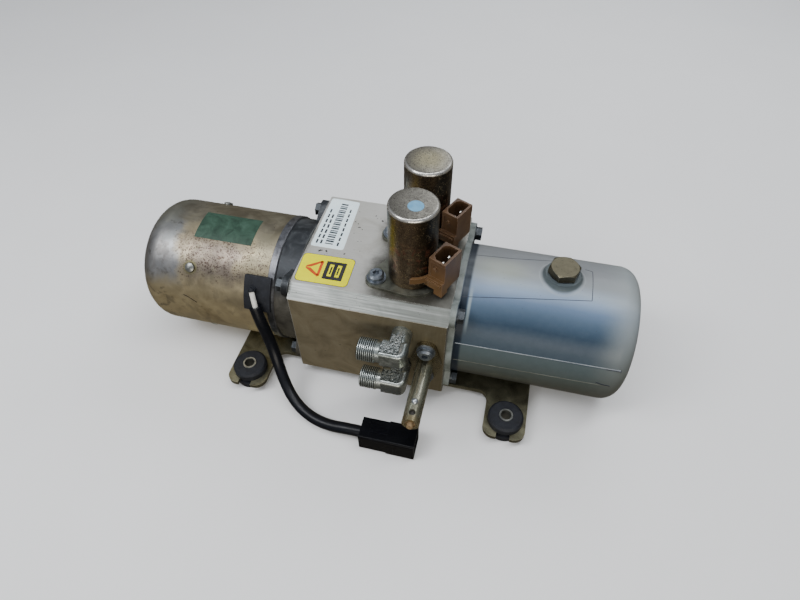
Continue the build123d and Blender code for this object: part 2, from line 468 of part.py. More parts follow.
def make_gear_pump():
    z_low = AXIS_Z - GEAR_CENTRES
    y_half, z0, z1 = 21.0, z_low - 19, AXIS_Z + 19
    shell = fillet(block(PUMP_X0, COVER_X1, -y_half, y_half, z0, z1).edges().filter_by(Axis.X), 6.0)
    body = shell & block(PUMP_X0, PUMP_X1, -60, 60, 0, 120)
    cover = shell & block(PUMP_X1, COVER_X1, -60, 60, 0, 120)
    for z in (AXIS_Z, z_low):
        body -= xcyl(12.75, CAVITY_X0, PUMP_X1, 0, z)
        body -= xcyl(GEAR_SHAFT_R + RUN_GAP, PUMP_X0, CAVITY_X0, 0, z)
        cover -= xcyl(GEAR_SHAFT_R + RUN_GAP, PUMP_X1, COVER_X1 - 2, 0, z)
    cover -= xcyl(3.0, COVER_X1 - 2, COVER_X1, 0, z_low)
    for y, z in pump_screw_points():
        body -= xcyl(2.6, PUMP_X0, PUMP_X1, y, z)
        cover -= xcyl(2.6, PUMP_X1, COVER_X1, y, z)
    NODES["pump_body"] = body
    NODES["pump_cover"] = cover
    lay = Pos(CAVITY_X0 + 0.05, 0, AXIS_Z) * Rot(0, 90, 0)
    drive = lay * gear(GEAR_W, 0.0) + xcyl(GEAR_SHAFT_R, -55, COVER_X1 - 2.5)
    NODES["drive_gear"] = drive
    lay_low = Pos(CAVITY_X0 + 0.05, 0, z_low) * Rot(0, 90, 0)
    driven = lay_low * gear(GEAR_W, math.pi + math.pi / GEAR_TEETH)
    NODES["driven_gear"] = driven + xcyl(GEAR_SHAFT_R, PUMP_X0 + 0.5, COVER_X1 - 2.5, 0, z_low)
    socket = extrude(RegularPolygon(2.3, 6), amount=-3).moved(Location((0, 0, 5)))
    screw = Rot(0, 90, 0) * (zcyl(4.25, 0, 5) - socket
                             + zcyl(2.5, -38, 0))
    NODES["pump_screws"] = join([Pos(COVER_X1, y, z) * screw for y, z in pump_screw_points()])
    NODES["suction_tube"] = xcyl(4.5, COVER_X1, 112, 0, z_low) - xcyl(3.0, COVER_X1, 112, 0, z_low)
    strainer = xcyl(11.5, 112, 146, 0, z_low) - xcyl(9.5, 114, 144, 0, z_low) - xcyl(3.0, 112, 114, 0, z_low)
    NODES["suction_filter"] = strainer
    NODES["return_tube"] = xcyl(3.0, BLOCK_X1 - 8, 128, 30, 74) - xcyl(2.0, BLOCK_X1 - 8, 128, 30, 74)


# ---------------------------------------------------------------- solenoid valves
def coil_plate():
    lobes = Circle(COIL_LOBE_R)
    for s in (-1, 1):
        lobes += Pos(s * SCREW_DX, s * SCREW_DY) * Circle(LOBE_R)
    plate = extrude(make_hull(lobes.edges()), amount=FLANGE_T) - zcyl(9.3, 0, FLANGE_T)
    for s in (-1, 1):
        plate -= zcyl(3.2, 0, FLANGE_T, s * SCREW_DX, s * SCREW_DY)
    return plate


def coil_can():
    can = chamfer(zcyl(COIL_R, COIL_Z0, COIL_Z1).edges().group_by(Axis.Z)[-1], 2.0)
    can -= zcyl(COIL_R - COIL_WALL, COIL_Z0, COIL_Z1 - 2.5)
    slot = Rot(0, 0, CONN_TURN) * block(15, 20, -1, 8.6, COIL_Z0, 122.5)
    return can - slot


def valve_tube():
    body = zcyl(CAVITY_R - 0.1, CAVITY_Z0, BLOCK_Z1) + zcyl(9.2, BLOCK_Z1, COIL_Z0)
    body += zcyl(TUBE_R, COIL_Z0, TUBE_Z1)
    return body - zcyl(TUBE_BORE_R, CAVITY_Z0, TUBE_Z1 - 4)


def coil_connector():
    """Two-pole connector with its own axes: Y along its long side, the coil on its -X side."""
    x, y = CONN_W / 2, CONN_L / 2
    body = block(-x, x, -y, y, CONN_Z0, CONN_Z1)
    cavity = Rectangle(CONN_W - 2 * CONN_WALL, CONN_L - 2 * CONN_WALL)
    cavity = chamfer(cavity.vertices().group_by(Axis.X)[0], 3.0)
    body -= Pos(0, 0, CONN_Z1 - CONN_DEPTH) * extrude(cavity, amount=CONN_DEPTH)
    body -= block(-x + CONN_WALL, x, -y, -y + 0.7, CONN_BASE_Z1, CONN_Z1 - 3)
    base = block(-x - CONN_SIDE, x, -y - CONN_LIP, 2, CONN_BASE_Z0, CONN_BASE_Z1)
    base += block(-x - 1, x - 1.5, -y - CONN_LIP - 1.2, -y, 120.6, 122.2)
    coil_at = Vector(-CONN_DX, -CONN_DY, 0).rotate(Axis.Z, -CONN_TURN)
    arm = zcyl(CONN_ARM_R, CONN_ARM_Z0, CONN_BASE_Z1, coil_at.X, coil_at.Y)
    base += arm & block(-x - CONN_ARM_L, -x, -y - 20, -y + 1, CONN_ARM_Z0, CONN_BASE_Z1)
    base -= zcyl(COIL_R + 0.4, CONN_BASE_Z0, CONN_BASE_Z1, coil_at.X, coil_at.Y)
    foot = block(0, x, -y - CONN_LIP, -y + 5, COIL_Z0 + 0.3, CONN_BASE_Z0)
    lug = ycyl(1.4, -y - 0.8, -y + 0.7, -1.2, 134.0)
    bridge = block(-x - 2.4, -x, 0, 7.6, 115.5, 122)
    shape = body + base + foot + lug + bridge
    return Rot(0, 0, CONN_TURN) * shape


def make_valves():
    plates, screws, windings, tubes, blades = [], [], [], [], []
    plunger = zcyl(PLUNGER_R, 92, 150) + zcyl(3.6, CAVITY_Z0 - 2, 92) - zcyl(1.5, 120, 150)
    coil_spring = spring(3.6, 0.45, 6, 150.1, TUBE_Z1 - 4.1)
    winding = zcyl(COIL_R - COIL_WALL - 0.4, COIL_Z0 + 2, COIL_Z1 - 5)
    winding -= zcyl(TUBE_R + 0.3, COIL_Z0 + 2, COIL_Z1 - 5)
    slot = Rot(0, 0, CONN_TURN) * block(14, 20, -2, 9.6, COIL_Z0, 124)
    for side, y in zip(("front", "rear"), COIL_YS):
        at = Pos(COIL_X, y, 0)
        plates.append(Pos(0, 0, BLOCK_Z1) * at * coil_plate())
        screws += [Pos(COIL_X + s * SCREW_DX, y + s * SCREW_DY, COIL_Z0) * torx_screw(length=16)
                   for s in (-1, 1)]
        windings.append(at * (winding - slot))
        tubes.append(at * valve_tube())
        spot = Pos(COIL_X + CONN_DX, y + CONN_DY, 0)
        NODES["coil_can_" + side] = at * coil_can()
        NODES["coil_connector_" + side] = spot * coil_connector()
        NODES["valve_plunger_" + side] = at * plunger
        NODES["valve_spring_" + side] = at * coil_spring
        for s in (-1, 1):
            blade_y = BLADE_Y + s * BLADE_PITCH / 2
            blade = block(BLADE_X - 0.4, BLADE_X + 0.4, blade_y - 1.4, blade_y + 1.4,
                          CONN_Z1 - CONN_DEPTH, CONN_Z1 - BLADE_TIP)
            blades.append(spot * Rot(0, 0, CONN_TURN) * blade)
    for s in (-1, 1):
        spot = Pos(PUMP_AXIS_X, FRONT_Y - 3.5, PUMP_AXIS_Z + s * HAND_SCREW_DZ)
        screws.append(spot * Rot(90, 0, 0) * torx_screw(length=16))
    NODES["coil_flanges"] = join(plates)
    NODES["torx_screws"] = join(screws)
    NODES["coil_windings"] = join(windings)
    NODES["valve_tubes"] = join(tubes)
    NODES["connector_blades"] = join(blades)


# ---------------------------------------------------------------- ports, hand pump and relief valve
def elbow(z):
    h = ELBOW_HALF
    leg = ycyl(7.9, ELBOW_Y, FRONT_Y, PORT_X, z)
    leg += ycyl(PORT_THREAD_R - 0.1, FRONT_Y, FRONT_Y + PORT_DEPTH, PORT_X, z)
    body = block(PORT_X - 11, PORT_X + h, ELBOW_Y - h, ELBOW_Y + h, z - h, z + h)
    body = fillet(body.edges().filter_by(Axis.Z).group_by(Axis.X)[-1].sort_by(Axis.Y)[0], 6.0)
    body = fillet(body.edges().filter_by(Axis.X), 3.2)
    neck_x = PORT_X - 11
    thread_x1 = neck_x - 3
    turns = int((thread_x1 - ELBOW_TIP_X - 1) / TUBE_THREAD_PITCH)
    outline = [(ELBOW_TIP_X, 0), (ELBOW_TIP_X, TUBE_THREAD_R - 1.0)]
    for i in range(turns):
        x = ELBOW_TIP_X + 0.8 + i * TUBE_THREAD_PITCH
        outline += [(x, TUBE_THREAD_R), (x + 0.35, TUBE_THREAD_R), (x + 0.85, TUBE_THREAD_R - 0.9),
                    (x + 1.1, TUBE_THREAD_R - 0.9)]
    outline += [(thread_x1, 8.1), (neck_x, 8.1), (neck_x, 0)]
    thread = Pos(0, ELBOW_Y, z) * turned(outline)
    seat_x = ELBOW_TIP_X + 2
    seat = [(ELBOW_TIP_X, 0), (ELBOW_TIP_X, TUBE_SEAT_R + 0.9), (seat_x, TUBE_SEAT_R),
            (seat_x + TUBE_SEAT_L, TUBE_SEAT_R), (seat_x + TUBE_SEAT_L, 4.5), (PORT_X, 4.5), (PORT_X, 0)]
    bore = Pos(0, ELBOW_Y, z) * turned(seat)
    drilling = ycyl(4.0, ELBOW_Y, FRONT_Y + PORT_DEPTH, PORT_X, z)
    return leg + body + thread - bore - drilling


def make_hand_pump():
    x, z = PUMP_AXIS_X, PUMP_AXIS_Z
    lobes = Circle(12.5)
    for s in (-1, 1):
        lobes += Pos(0, s * HAND_SCREW_DZ) * Circle(8.2)
    plate = Pos(x, FRONT_Y, z) * Rot(90, 0, 0) * extrude(make_hull(lobes.edges()), amount=3.5)
    for s in (-1, 1):
        plate -= ycyl(3.2, FRONT_Y - 3.5, FRONT_Y, x, z + s * HAND_SCREW_DZ)
    barrel = plate + ycyl(BARREL_R, BARREL_END_Y, FRONT_Y, x, z)
    barrel += ycyl(BARREL_NOSE_R, FRONT_Y, BARREL_NOSE_Y - 0.5, x, z)
    barrel -= ycyl(BARREL_BORE_R, BARREL_END_Y, BARREL_NOSE_Y - 3, x, z)
    barrel -= zcyl(LEVER_HOLE_R, z, z + 10, x, LEVER_HOLE_Y)
    barrel -= zcyl(BALL_R + 0.05, z, z + 10, x, BALL_Y)
    NODES["hand_pump_barrel"] = barrel
    NODES["detent_ball"] = Pos(x, BALL_Y, z + BARREL_R) * Sphere(BALL_R)
    plunger_r = BARREL_BORE_R - 0.06
    end_y = BARREL_END_Y + 0.8
    plunger = ycyl(plunger_r, end_y, -60, x, z) + ycyl(2.3, end_y - 3.6, end_y, x, z)
    NODES["hand_pump_plunger"] = plunger
    NODES["plunger_spring"] = Pos(x, 0, z) * Rot(-90, 0, 0) * spring(3.2, 0.5, 6, -59.9, BARREL_NOSE_Y - 3.1)


def make_relief_valve():
    x, z, y = RELIEF_X, RELIEF_Z, BLOCK_Y
    hexagon = Pos(x, y, z) * Rot(-90, 0, 0) * extrude(RegularPolygon(9.8, 6), amount=6)
    adjuster = ycyl(6.95, y - 8, y, x, z) + hexagon
    adjuster += ycyl(4.0, y + 6, y + 11, x, z)
    slot = block(x - 4, x + 4, y + 9, y + 11, z - 0.6, z + 0.6)
    NODES["relief_adjuster"] = adjuster - slot
    cone = Pos(x, y - 24, z) * Rot(-90, 0, 0) * Cone(2.0, 5.0, 4)
    NODES["relief_poppet"] = cone + ycyl(6.94, y - 22, y - 18, x, z)
    NODES["relief_spring"] = Pos(x, 0, z) * Rot(-90, 0, 0) * spring(4.5, 0.6, 4, y - 17.9, y - 8.1)


def build():
    NODES["manifold_block"] = make_block()
    NODES["mounting_plate"] = make_plate()
    make_feet()
    NODES["motor_can"] = make_can()
    NODES["motor_adapter"] = make_adapter()
    make_field()
    make_rotor()
    make_brushes()
    NODES["cable_grommet"] = make_grommet()
    make_lead()
    make_lead_connector()
    make_tank()
    make_gear_pump()
    make_valves()
    for side, z in zip(("upper", "lower"), PORT_ZS):
        NODES["elbow_" + side] = elbow(z)
    make_hand_pump()
    make_relief_valve()


build()
os.makedirs("parts", exist_ok=True)
for name, shape in NODES.items():
    export_step(shape, "parts/" + name + ".step")
print(len(NODES), "nodes")
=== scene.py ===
"""Looks of the compact hydraulic power unit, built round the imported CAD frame.

Everything is given in millimetres in the row frame and stored in metres: +Z up, +X from the motor to
the tank, -Y the side with the hose ports. Angles "front" are turned from -Y towards +Z about the unit's axis.
"""
import math
import random

import bmesh
import bpy
from mathutils import Matrix, Vector


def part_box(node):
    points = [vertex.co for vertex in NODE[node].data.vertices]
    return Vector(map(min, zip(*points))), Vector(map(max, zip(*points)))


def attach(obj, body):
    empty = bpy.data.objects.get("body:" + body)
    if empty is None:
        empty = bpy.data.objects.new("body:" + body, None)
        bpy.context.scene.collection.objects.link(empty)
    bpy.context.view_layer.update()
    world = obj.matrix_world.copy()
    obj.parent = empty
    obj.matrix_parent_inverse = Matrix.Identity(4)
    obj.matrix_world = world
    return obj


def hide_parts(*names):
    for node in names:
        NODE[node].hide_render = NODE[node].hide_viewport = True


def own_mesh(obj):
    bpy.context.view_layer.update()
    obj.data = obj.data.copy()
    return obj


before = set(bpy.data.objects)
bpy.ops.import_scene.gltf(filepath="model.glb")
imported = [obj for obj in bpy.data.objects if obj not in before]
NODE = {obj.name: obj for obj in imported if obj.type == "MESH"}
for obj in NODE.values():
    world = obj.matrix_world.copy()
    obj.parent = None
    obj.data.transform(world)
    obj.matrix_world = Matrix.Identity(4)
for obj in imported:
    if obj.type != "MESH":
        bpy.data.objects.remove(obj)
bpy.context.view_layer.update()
MM = 0.001
AXIS_Z = 58.0
CAN_R = TANK_R = 54.0
BLOCK_TOP = 107.0
COIL_X, COIL_YS = 21.0, (-19.0, 32.0)          # the two solenoid valves
PORT_Y, PORT_ZS = -78.5, (83.0, 46.0)          # the hose elbows' outlets
BOSS_X, BOSS_R = 132.5, 13.5                   # the tank's filler boss
POLE_X, POLE_ANGLES = -160.0, (42.0, 132.0, 222.0, -48.0)    # pole screws, degrees from the front


# ---------------------------------------------------------------- camera
def make_camera():
    azimuth, elevation, roll = (math.radians(a) for a in (14.05, 49.14, -0.68))
    back = Vector((math.sin(azimuth) * math.cos(elevation), -math.cos(azimuth) * math.cos(elevation),
                   math.sin(elevation)))
    right = Vector((math.cos(azimuth), math.sin(azimuth), 0))
    up = back.cross(right)
    right, up = (math.cos(roll) * right + math.sin(roll) * up, math.cos(roll) * up - math.sin(roll) * right)
    data = bpy.data.cameras.new("camera")
    data.lens, data.sensor_width = 25.22, 36.0
    data.shift_x, data.shift_y = 0.0019, -0.0033
    data.clip_start = 0.01
    camera = bpy.data.objects.new("camera", data)
    bpy.context.scene.collection.objects.link(camera)
    turn = Matrix((right, up, back)).transposed().to_4x4()
    camera.matrix_world = Matrix.Translation(Vector((82.1, -308.4, 422.4)) * MM) @ turn
    bpy.context.scene.camera = camera


# ---------------------------------------------------------------- materials
class Look:
    """A Principled material whose colour, roughness and bump come from textures in the row frame."""

    def __init__(self, name, **constants):
        self.mat = bpy.data.materials.new(name)
        self.mat.use_nodes = True
        self.tree = self.mat.node_tree
        self.tree.nodes.clear()
        self.bsdf = self.node("BsdfPrincipled")
        self.link(self.bsdf.outputs[0], self.node("OutputMaterial").inputs[0])
        for key, value in constants.items():
            self.bsdf.inputs[key.replace("_", " ")].default_value = value
        self.place = self.node("TexCoord").outputs["Object"]
        split = self.node("SeparateXYZ", self.place)
        self.x, self.y, self.z = split.outputs
        self.bumps = None

    def node(self, kind, *inputs):
        made = self.tree.nodes.new("ShaderNode" + kind)
        for socket, value in zip(made.inputs, inputs):
            self.set(socket, value)
        return made

    def link(self, a, b):
        self.tree.links.new(a, b)

    def set(self, socket, value):
        if isinstance(value, bpy.types.NodeSocket):
            self.link(value, socket)
        elif value is not None:
            socket.default_value = value

    def math(self, op, a, b=0.0):
        made = self.node("Math", a, b)
        made.operation = op
        return made.outputs[0]

    def front(self):
        """Degrees about the unit's axis: -90 below, 0 at the front, 90 on top, 180 at the back."""
        up = self.less(self.z, AXIS_Z * MM)
        out = self.math("MULTIPLY", self.y, -1.0)
        turn = self.math("ARCTAN2", out, self.math("MULTIPLY", up, -1.0))
        turn = self.plus(turn, self.times(self.math("LESS_THAN", turn, 0.0), 2 * math.pi))
        return self.less(self.times(turn, 180 / math.pi), 90.0)

    def noise(self, size, detail=3.0, rough=0.55, stretch=(1, 1, 1), warp=0.0):
        """Noise of that feature size in millimetres; stretch makes the features longer along an axis."""
        scale = self.node("Mapping", self.place)
        scale.inputs["Scale"].default_value = [1 / s for s in stretch]
        made = self.node("TexNoise")
        self.link(scale.outputs[0], made.inputs["Vector"])
        made.inputs["Scale"].default_value = 1000.0 / size
        made.inputs["Detail"].default_value = detail
        made.inputs["Roughness"].default_value = rough
        made.inputs["Distortion"].default_value = warp
        return made.outputs[0]

    def dots(self, size, small=0.22, large=0.42):
        """Round-ish specks, one to a cell of that size; their radius varies from place to place."""
        made = self.node("TexVoronoi")
        self.link(self.place, made.inputs["Vector"])
        made.inputs["Scale"].default_value = 1000.0 / size
        ragged = self.plus(made.outputs["Distance"], self.times(self.noise(size * 0.4, 2.0), 0.16))
        reach = self.step(self.noise(size * 2.5, 2.0), 0.35, 0.65, small, large)
        return self.step(self.less(ragged, reach), 0.05, 0.12, 1.0, 0.0)

    def step(self, value, low, high, out_low=0.0, out_high=1.0):
        made = self.node("MapRange", value, low, high, out_low, out_high)
        made.interpolation_type = "SMOOTHSTEP"
        return made.outputs[0]

    def band(self, value, low, high, soft):
        """1 between low and high, fading over soft on either side."""
        return self.math("MULTIPLY", self.step(value, low - soft, low + soft),
                         self.step(value, high - soft, high + soft, 1.0, 0.0))

    def times(self, *values):
        total = values[0]
        for value in values[1:]:
            total = self.math("MULTIPLY", total, value)
        return total

    def plus(self, a, b):
        return self.math("ADD", a, b)

    def less(self, a, b):
        return self.math("SUBTRACT", a, b)

    def far(self, a, b):
        """Distance from the origin of a plane whose coordinates are a and b."""
        return self.math("SQRT", self.plus(self.times(a, a), self.times(b, b)))

    def over(self, base, color, *masks):
        """base, covered with color as far as all the masks let it."""
        return self.mix(self.times(*masks), base, color)

    def ramp(self, fac, *stops):
        made = self.node("ValToRGB", fac)
        elements = made.color_ramp.elements
        while len(elements) < len(stops):
            elements.new(0.5)
        for element, (position, color) in zip(elements, stops):
            element.position = position
            element.color = (*color, 1.0)
        return made.outputs[0]

    def mix(self, fac, a, b):
        made = self.node("Mix")
        made.data_type = "RGBA"
        self.set(made.inputs[0], fac)
        for socket, value in ((made.inputs[6], a), (made.inputs[7], b)):
            self.set(socket, (*value, 1.0) if isinstance(value, tuple) else value)
        return made.outputs[2]

    def edges(self, radius):
        """1 along sharp edges, from the difference between the rounded and the true normal."""
        bevel = self.node("Bevel")
        bevel.samples = 4
        bevel.inputs["Radius"].default_value = radius * MM
        dot = self.node("VectorMath", bevel.outputs[0], self.node("NewGeometry").outputs["True Normal"])
        dot.operation = "DOT_PRODUCT"
        return self.step(self.less(1.0, dot.outputs["Value"]), 0.02, 0.25)

    def color(self, value):
        self.set(self.bsdf.inputs["Base Color"], (*value, 1.0) if isinstance(value, tuple) else value)

    def rough(self, value):
        self.set(self.bsdf.inputs["Roughness"], value)

    def bump(self, height, depth, strength=1.0):
        """Adds a bump of that depth in millimetres."""
        made = self.node("Bump")
        made.inputs["Strength"].default_value = strength
        made.inputs["Distance"].default_value = depth * MM
        self.link(height, made.inputs["Height"])
        if self.bumps is not None:
            self.link(self.bumps, made.inputs["Normal"])
        self.bumps = made.outputs[0]
        self.link(self.bumps, self.bsdf.inputs["Normal"])


def metal(name, dark, light, rough=(0.3, 0.5), size=6.0, grain=0.25, depth=0.02, stretch=(1, 1, 1),
          metallic=0.9, wear=None, spots=None):
    """Plated or bare metal: two tones in soft patches, fine grain, optional worn edges and dark spots."""
    look = Look(name, Metallic=metallic)
    patches = look.noise(size, 4.0, 0.6, warp=0.4)
    fine = look.noise(grain, 2.0, 0.6, stretch)
    tone = look.ramp(look.plus(look.times(patches, 0.75), look.times(fine, 0.25)), (0.32, dark),
                     (0.66, light))
    if spots:
        speckle = look.step(look.noise(1.1, 3.0, 0.7), 0.60, 0.70)
        tone = look.over(tone, spots, speckle, look.step(look.noise(14.0, 2.0), 0.45, 0.62))
    if wear:
        tone = look.over(tone, wear, look.edges(0.5), 0.8)
    look.color(tone)
    look.rough(look.step(patches, 0.3, 0.7, *rough))
    look.bump(fine, depth, 0.6)
    return look.mat


def plastic(name, base, shade, rough=(0.35, 0.5), size=9.0, grain=0.35, depth=0.02, wear=None, dust=None,
            shine=0.4):
    """Moulded plastic or rubber: uneven colour, fine moulded texture, optional rubbed edges and dust."""
    look = Look(name, Specular_IOR_Level=shine)
    patches = look.noise(size, 3.0)
    fine = look.noise(grain, 2.0, 0.65)
    tone = look.ramp(patches, (0.3, shade), (0.7, base))
    if dust:
        tone = look.over(tone, dust, look.step(look.noise(1.6, 5.0, 0.7), 0.50, 0.75), 0.55)
    if wear:
        tone = look.over(tone, wear, look.edges(0.45), 0.75)
    look.color(tone)
    look.rough(look.step(fine, 0.2, 0.8, *rough))
    look.bump(fine, depth, 0.5)
    return look.mat


def can_metal():
    """Yellow-passivated steel: cool grey closed end, pinkish rust-speckled middle, straw rim."""
    look = Look("can_steel", Metallic=0.85)
    front = look.front()
    patches = look.noise(26.0, 4.0, 0.6, warp=0.6)
    rings = look.noise(0.7, 3.0, 0.6, (1, 60, 60))
    straw = look.ramp(patches, (0.30, (0.34, 0.27, 0.155)), (0.52, (0.58, 0.49, 0.30)),
                      (0.74, (0.47, 0.39, 0.25)))
    grey = look.ramp(patches, (0.28, (0.14, 0.13, 0.12)), (0.55, (0.27, 0.27, 0.27)),
                     (0.78, (0.19, 0.18, 0.165)))
    wobble = look.times(look.less(look.noise(18.0, 3.0), 0.5), 0.05)
    along = look.plus(look.x, wobble)
    turn = look.plus(front, look.times(wobble, 500.0))
    cool = look.step(along, -0.182, -0.158, 1.0, 0.0)
    upper = look.times(look.step(turn, 16.0, 34.0), look.step(turn, 200.0, 160.0))
    tone = look.over(straw, grey, cool, upper)
    pink = look.times(look.band(along, -0.168, -0.112, 0.012), look.band(front, 32.0, 74.0, 12.0))
    violet = look.ramp(look.noise(9.0, 4.0, 0.65, warp=0.8), (0.34, (0.085, 0.070, 0.068)),
                       (0.5, (0.135, 0.112, 0.106)), (0.66, (0.155, 0.140, 0.110)))
    tone = look.over(tone, violet, pink, 0.85)
    # painted highlight: a pale band on the upper front near the closed end
    bright = look.times(look.band(along, -0.186, -0.173, 0.008), look.band(front, 55.0, 76.0, 12.0))
    tone = look.over(tone, (0.30, 0.325, 0.32), bright, 0.45)
    warm_end = look.times(look.step(along, -0.116, -0.100), look.band(turn, 58.0, 88.0, 12.0))
    tone = look.over(tone, (0.36, 0.33, 0.235), warm_end, 0.8)
    low_end = look.times(look.step(along, -0.122, -0.104), look.band(front, 36.0, 62.0, 6.0))
    tone = look.over(tone, (0.115, 0.105, 0.075), low_end, 0.75)
    # painted shade: the top of the can is painted darker than its sides
    top = look.times(look.step(turn, 74.0, 92.0), look.step(turn, 190.0, 150.0))
    dark_top = look.ramp(patches, (0.35, (0.155, 0.140, 0.102)), (0.65, (0.29, 0.27, 0.21)))
    tone = look.over(tone, dark_top, top, 0.85)
    end_top = look.times(look.step(along, -0.178, -0.190), look.step(turn, 62.0, 84.0))
    tone = look.over(tone, (0.27, 0.275, 0.235), end_top, 0.6)
    crowd = look.step(look.noise(8.0, 3.0), 0.28, 0.46)
    field = look.times(look.band(along, -0.170, -0.092, 0.006), look.band(turn, 40.0, 72.0, 9.0), crowd)
    loose = look.times(look.band(along, -0.176, -0.128, 0.010), look.band(turn, 34.0, 70.0, 8.0), 0.8)
    specks = look.math("MAXIMUM", look.times(look.dots(1.2, 0.22, 0.46), field),
                       look.times(look.dots(2.6, 0.10, 0.38), loose))
    strays = look.times(look.dots(2.6, 0.0, 0.26), look.step(look.noise(19.0, 2.0), 0.52, 0.64), 0.7)
    specks = look.math("MAXIMUM", specks, strays)
    tone = look.over(tone, (0.055, 0.034, 0.028), specks, 0.92)
    for angle in POLE_ANGLES:
        over = look.less(look.x, POLE_X * MM)
        around = look.times(look.less(front, angle), math.radians(CAN_R * MM))
        away = look.far(over, around)
        tone = look.over(tone, (0.20, 0.185, 0.085), look.step(away, 0.0050, 0.0070, 1.0, 0.0), 0.6)
        # painted shade: a dark ring round the foot of each pole screw head
        tone = look.over(tone, (0.03, 0.027, 0.018), look.step(away, 0.0039, 0.0046, 1.0, 0.0), 0.85)
    dull = look.times(look.step(look.noise(12.0, 5.0, 0.6, warp=0.5), 0.54, 0.62), 0.5)
    tone = look.over(tone, (0.10, 0.09, 0.08), dull, look.step(along, -0.19, -0.16, 1.0, 0.4))
    shade_band = look.times(look.band(front, 12.0, 26.0, 5.0), look.step(along, -0.150, -0.110, 0.35, 1.0))
    tone = look.over(tone, (0.10, 0.088, 0.07), shade_band, 0.5)
    look.color(tone)
    look.rough(look.step(look.noise(9.0, 3.0), 0.3, 0.7, 0.30, 0.46))
    look.bump(rings, 0.03, 0.5)
    look.bump(specks, 0.06, 0.4)
    return look.mat


def block_metal():
    """Machined aluminium: fine straight cutter marks, soft grey stains and bright edges."""
    look = Look("block_aluminium", Metallic=0.55)
    marks = look.noise(0.45, 3.0, 0.6, (40, 1.2, 1.2))
    stains = look.noise(30.0, 5.0, 0.62, warp=0.8)
    tone = look.ramp(stains, (0.30, (0.42, 0.40, 0.35)), (0.48, (0.56, 0.55, 0.51)),
                     (0.72, (0.62, 0.61, 0.58)))
    tone = look.over(tone, (0.36, 0.34, 0.30), look.step(marks, 0.35, 0.7), 0.22)
    # painted shade: the block's right part, beside the coils, is painted darker in patches
    coil_side_painted_shade = look.times(look.step(look.x, -0.022, 0.004),
                       look.step(look.noise(16.0, 4.0, 0.6), 0.25, 0.6, 0.55, 1.0))
    tone = look.over(tone, (0.12, 0.12, 0.10), coil_side_painted_shade, 0.8)
    # painted shade: a darker patch in front of the front coil and its connector
    corner = look.times(look.step(look.x, 0.012, 0.034), look.step(look.y, -0.020, -0.034))
    tone = look.over(tone, (0.075, 0.078, 0.068), corner, 0.6)
    streaks = look.noise(1.6, 4.0, 0.7, (45, 1, 1))
    slope = look.times(look.step(look.y, -0.0462, -0.0467), look.step(look.y, -0.0574, -0.0570))
    slope_tone = look.ramp(look.plus(look.times(streaks, 0.7), look.times(stains, 0.3)),
                           (0.36, (0.17, 0.185, 0.175)), (0.50, (0.34, 0.36, 0.34)),
                           (0.62, (0.60, 0.62, 0.60)))
    slope_tone = look.mix(look.step(look.x, -0.030, 0.045, 0.0, 0.62), slope_tone, (0.15, 0.16, 0.145))
    tone = look.over(tone, slope_tone, slope, look.step(look.z, 0.0960, 0.0970))
    # painted shade: a dark pool on the block's top round the foot of each coil can
    for y in COIL_YS:
        over, back = look.less(look.x, COIL_X * MM), look.less(look.y, y * MM)
        away = look.far(over, back)
        ragged = look.plus(away, look.times(look.less(look.noise(7.0, 4.0, 0.65), 0.5), 0.016))
        tone = look.over(tone, (0.045, 0.040, 0.030), look.step(ragged, 0.023, 0.041, 0.92, 0.0),
                         look.step(look.z, 0.1060, 0.1064))
    # painted shade and a painted warm reflection: the front face is painted a darker brown than the top, and
    # darker still towards the elbows
    shaded_front_face = look.step(look.y, -0.0574, -0.0570, 1.0, 0.0)
    brown = look.ramp(look.noise(24.0, 5.0, 0.65, warp=0.8), (0.32, (0.145, 0.116, 0.065)),
                      (0.5, (0.215, 0.180, 0.110)), (0.68, (0.270, 0.235, 0.155)))
    brown = look.mix(look.step(look.x, -0.020, 0.050, 0.0, 0.6), brown, (0.085, 0.073, 0.040))
    fine_lines = look.step(look.noise(0.8, 3.0, 0.6, (1, 1, 30)), 0.40, 0.62)
    brown = look.over(brown, (0.20, 0.175, 0.12), fine_lines, 0.25)
    tone = look.over(tone, brown, shaded_front_face, 0.95)
    pits = look.times(look.step(look.noise(2.2, 2.0, 0.5), 0.70, 0.73),
                      look.step(look.noise(16.0, 1.0), 0.50, 0.62))
    tone = look.over(tone, (0.05, 0.045, 0.04), pits, 0.8)
    rubbed = look.step(look.noise(3.0, 3.0), 0.35, 0.6, 0.35, 1.0)
    tone = look.over(tone, (0.80, 0.79, 0.76), look.edges(0.7), rubbed, 0.75)
    look.color(tone)
    look.rough(look.step(stains, 0.3, 0.7, 0.46, 0.34))
    look.bump(marks, 0.03, 0.35)
    return look.mat


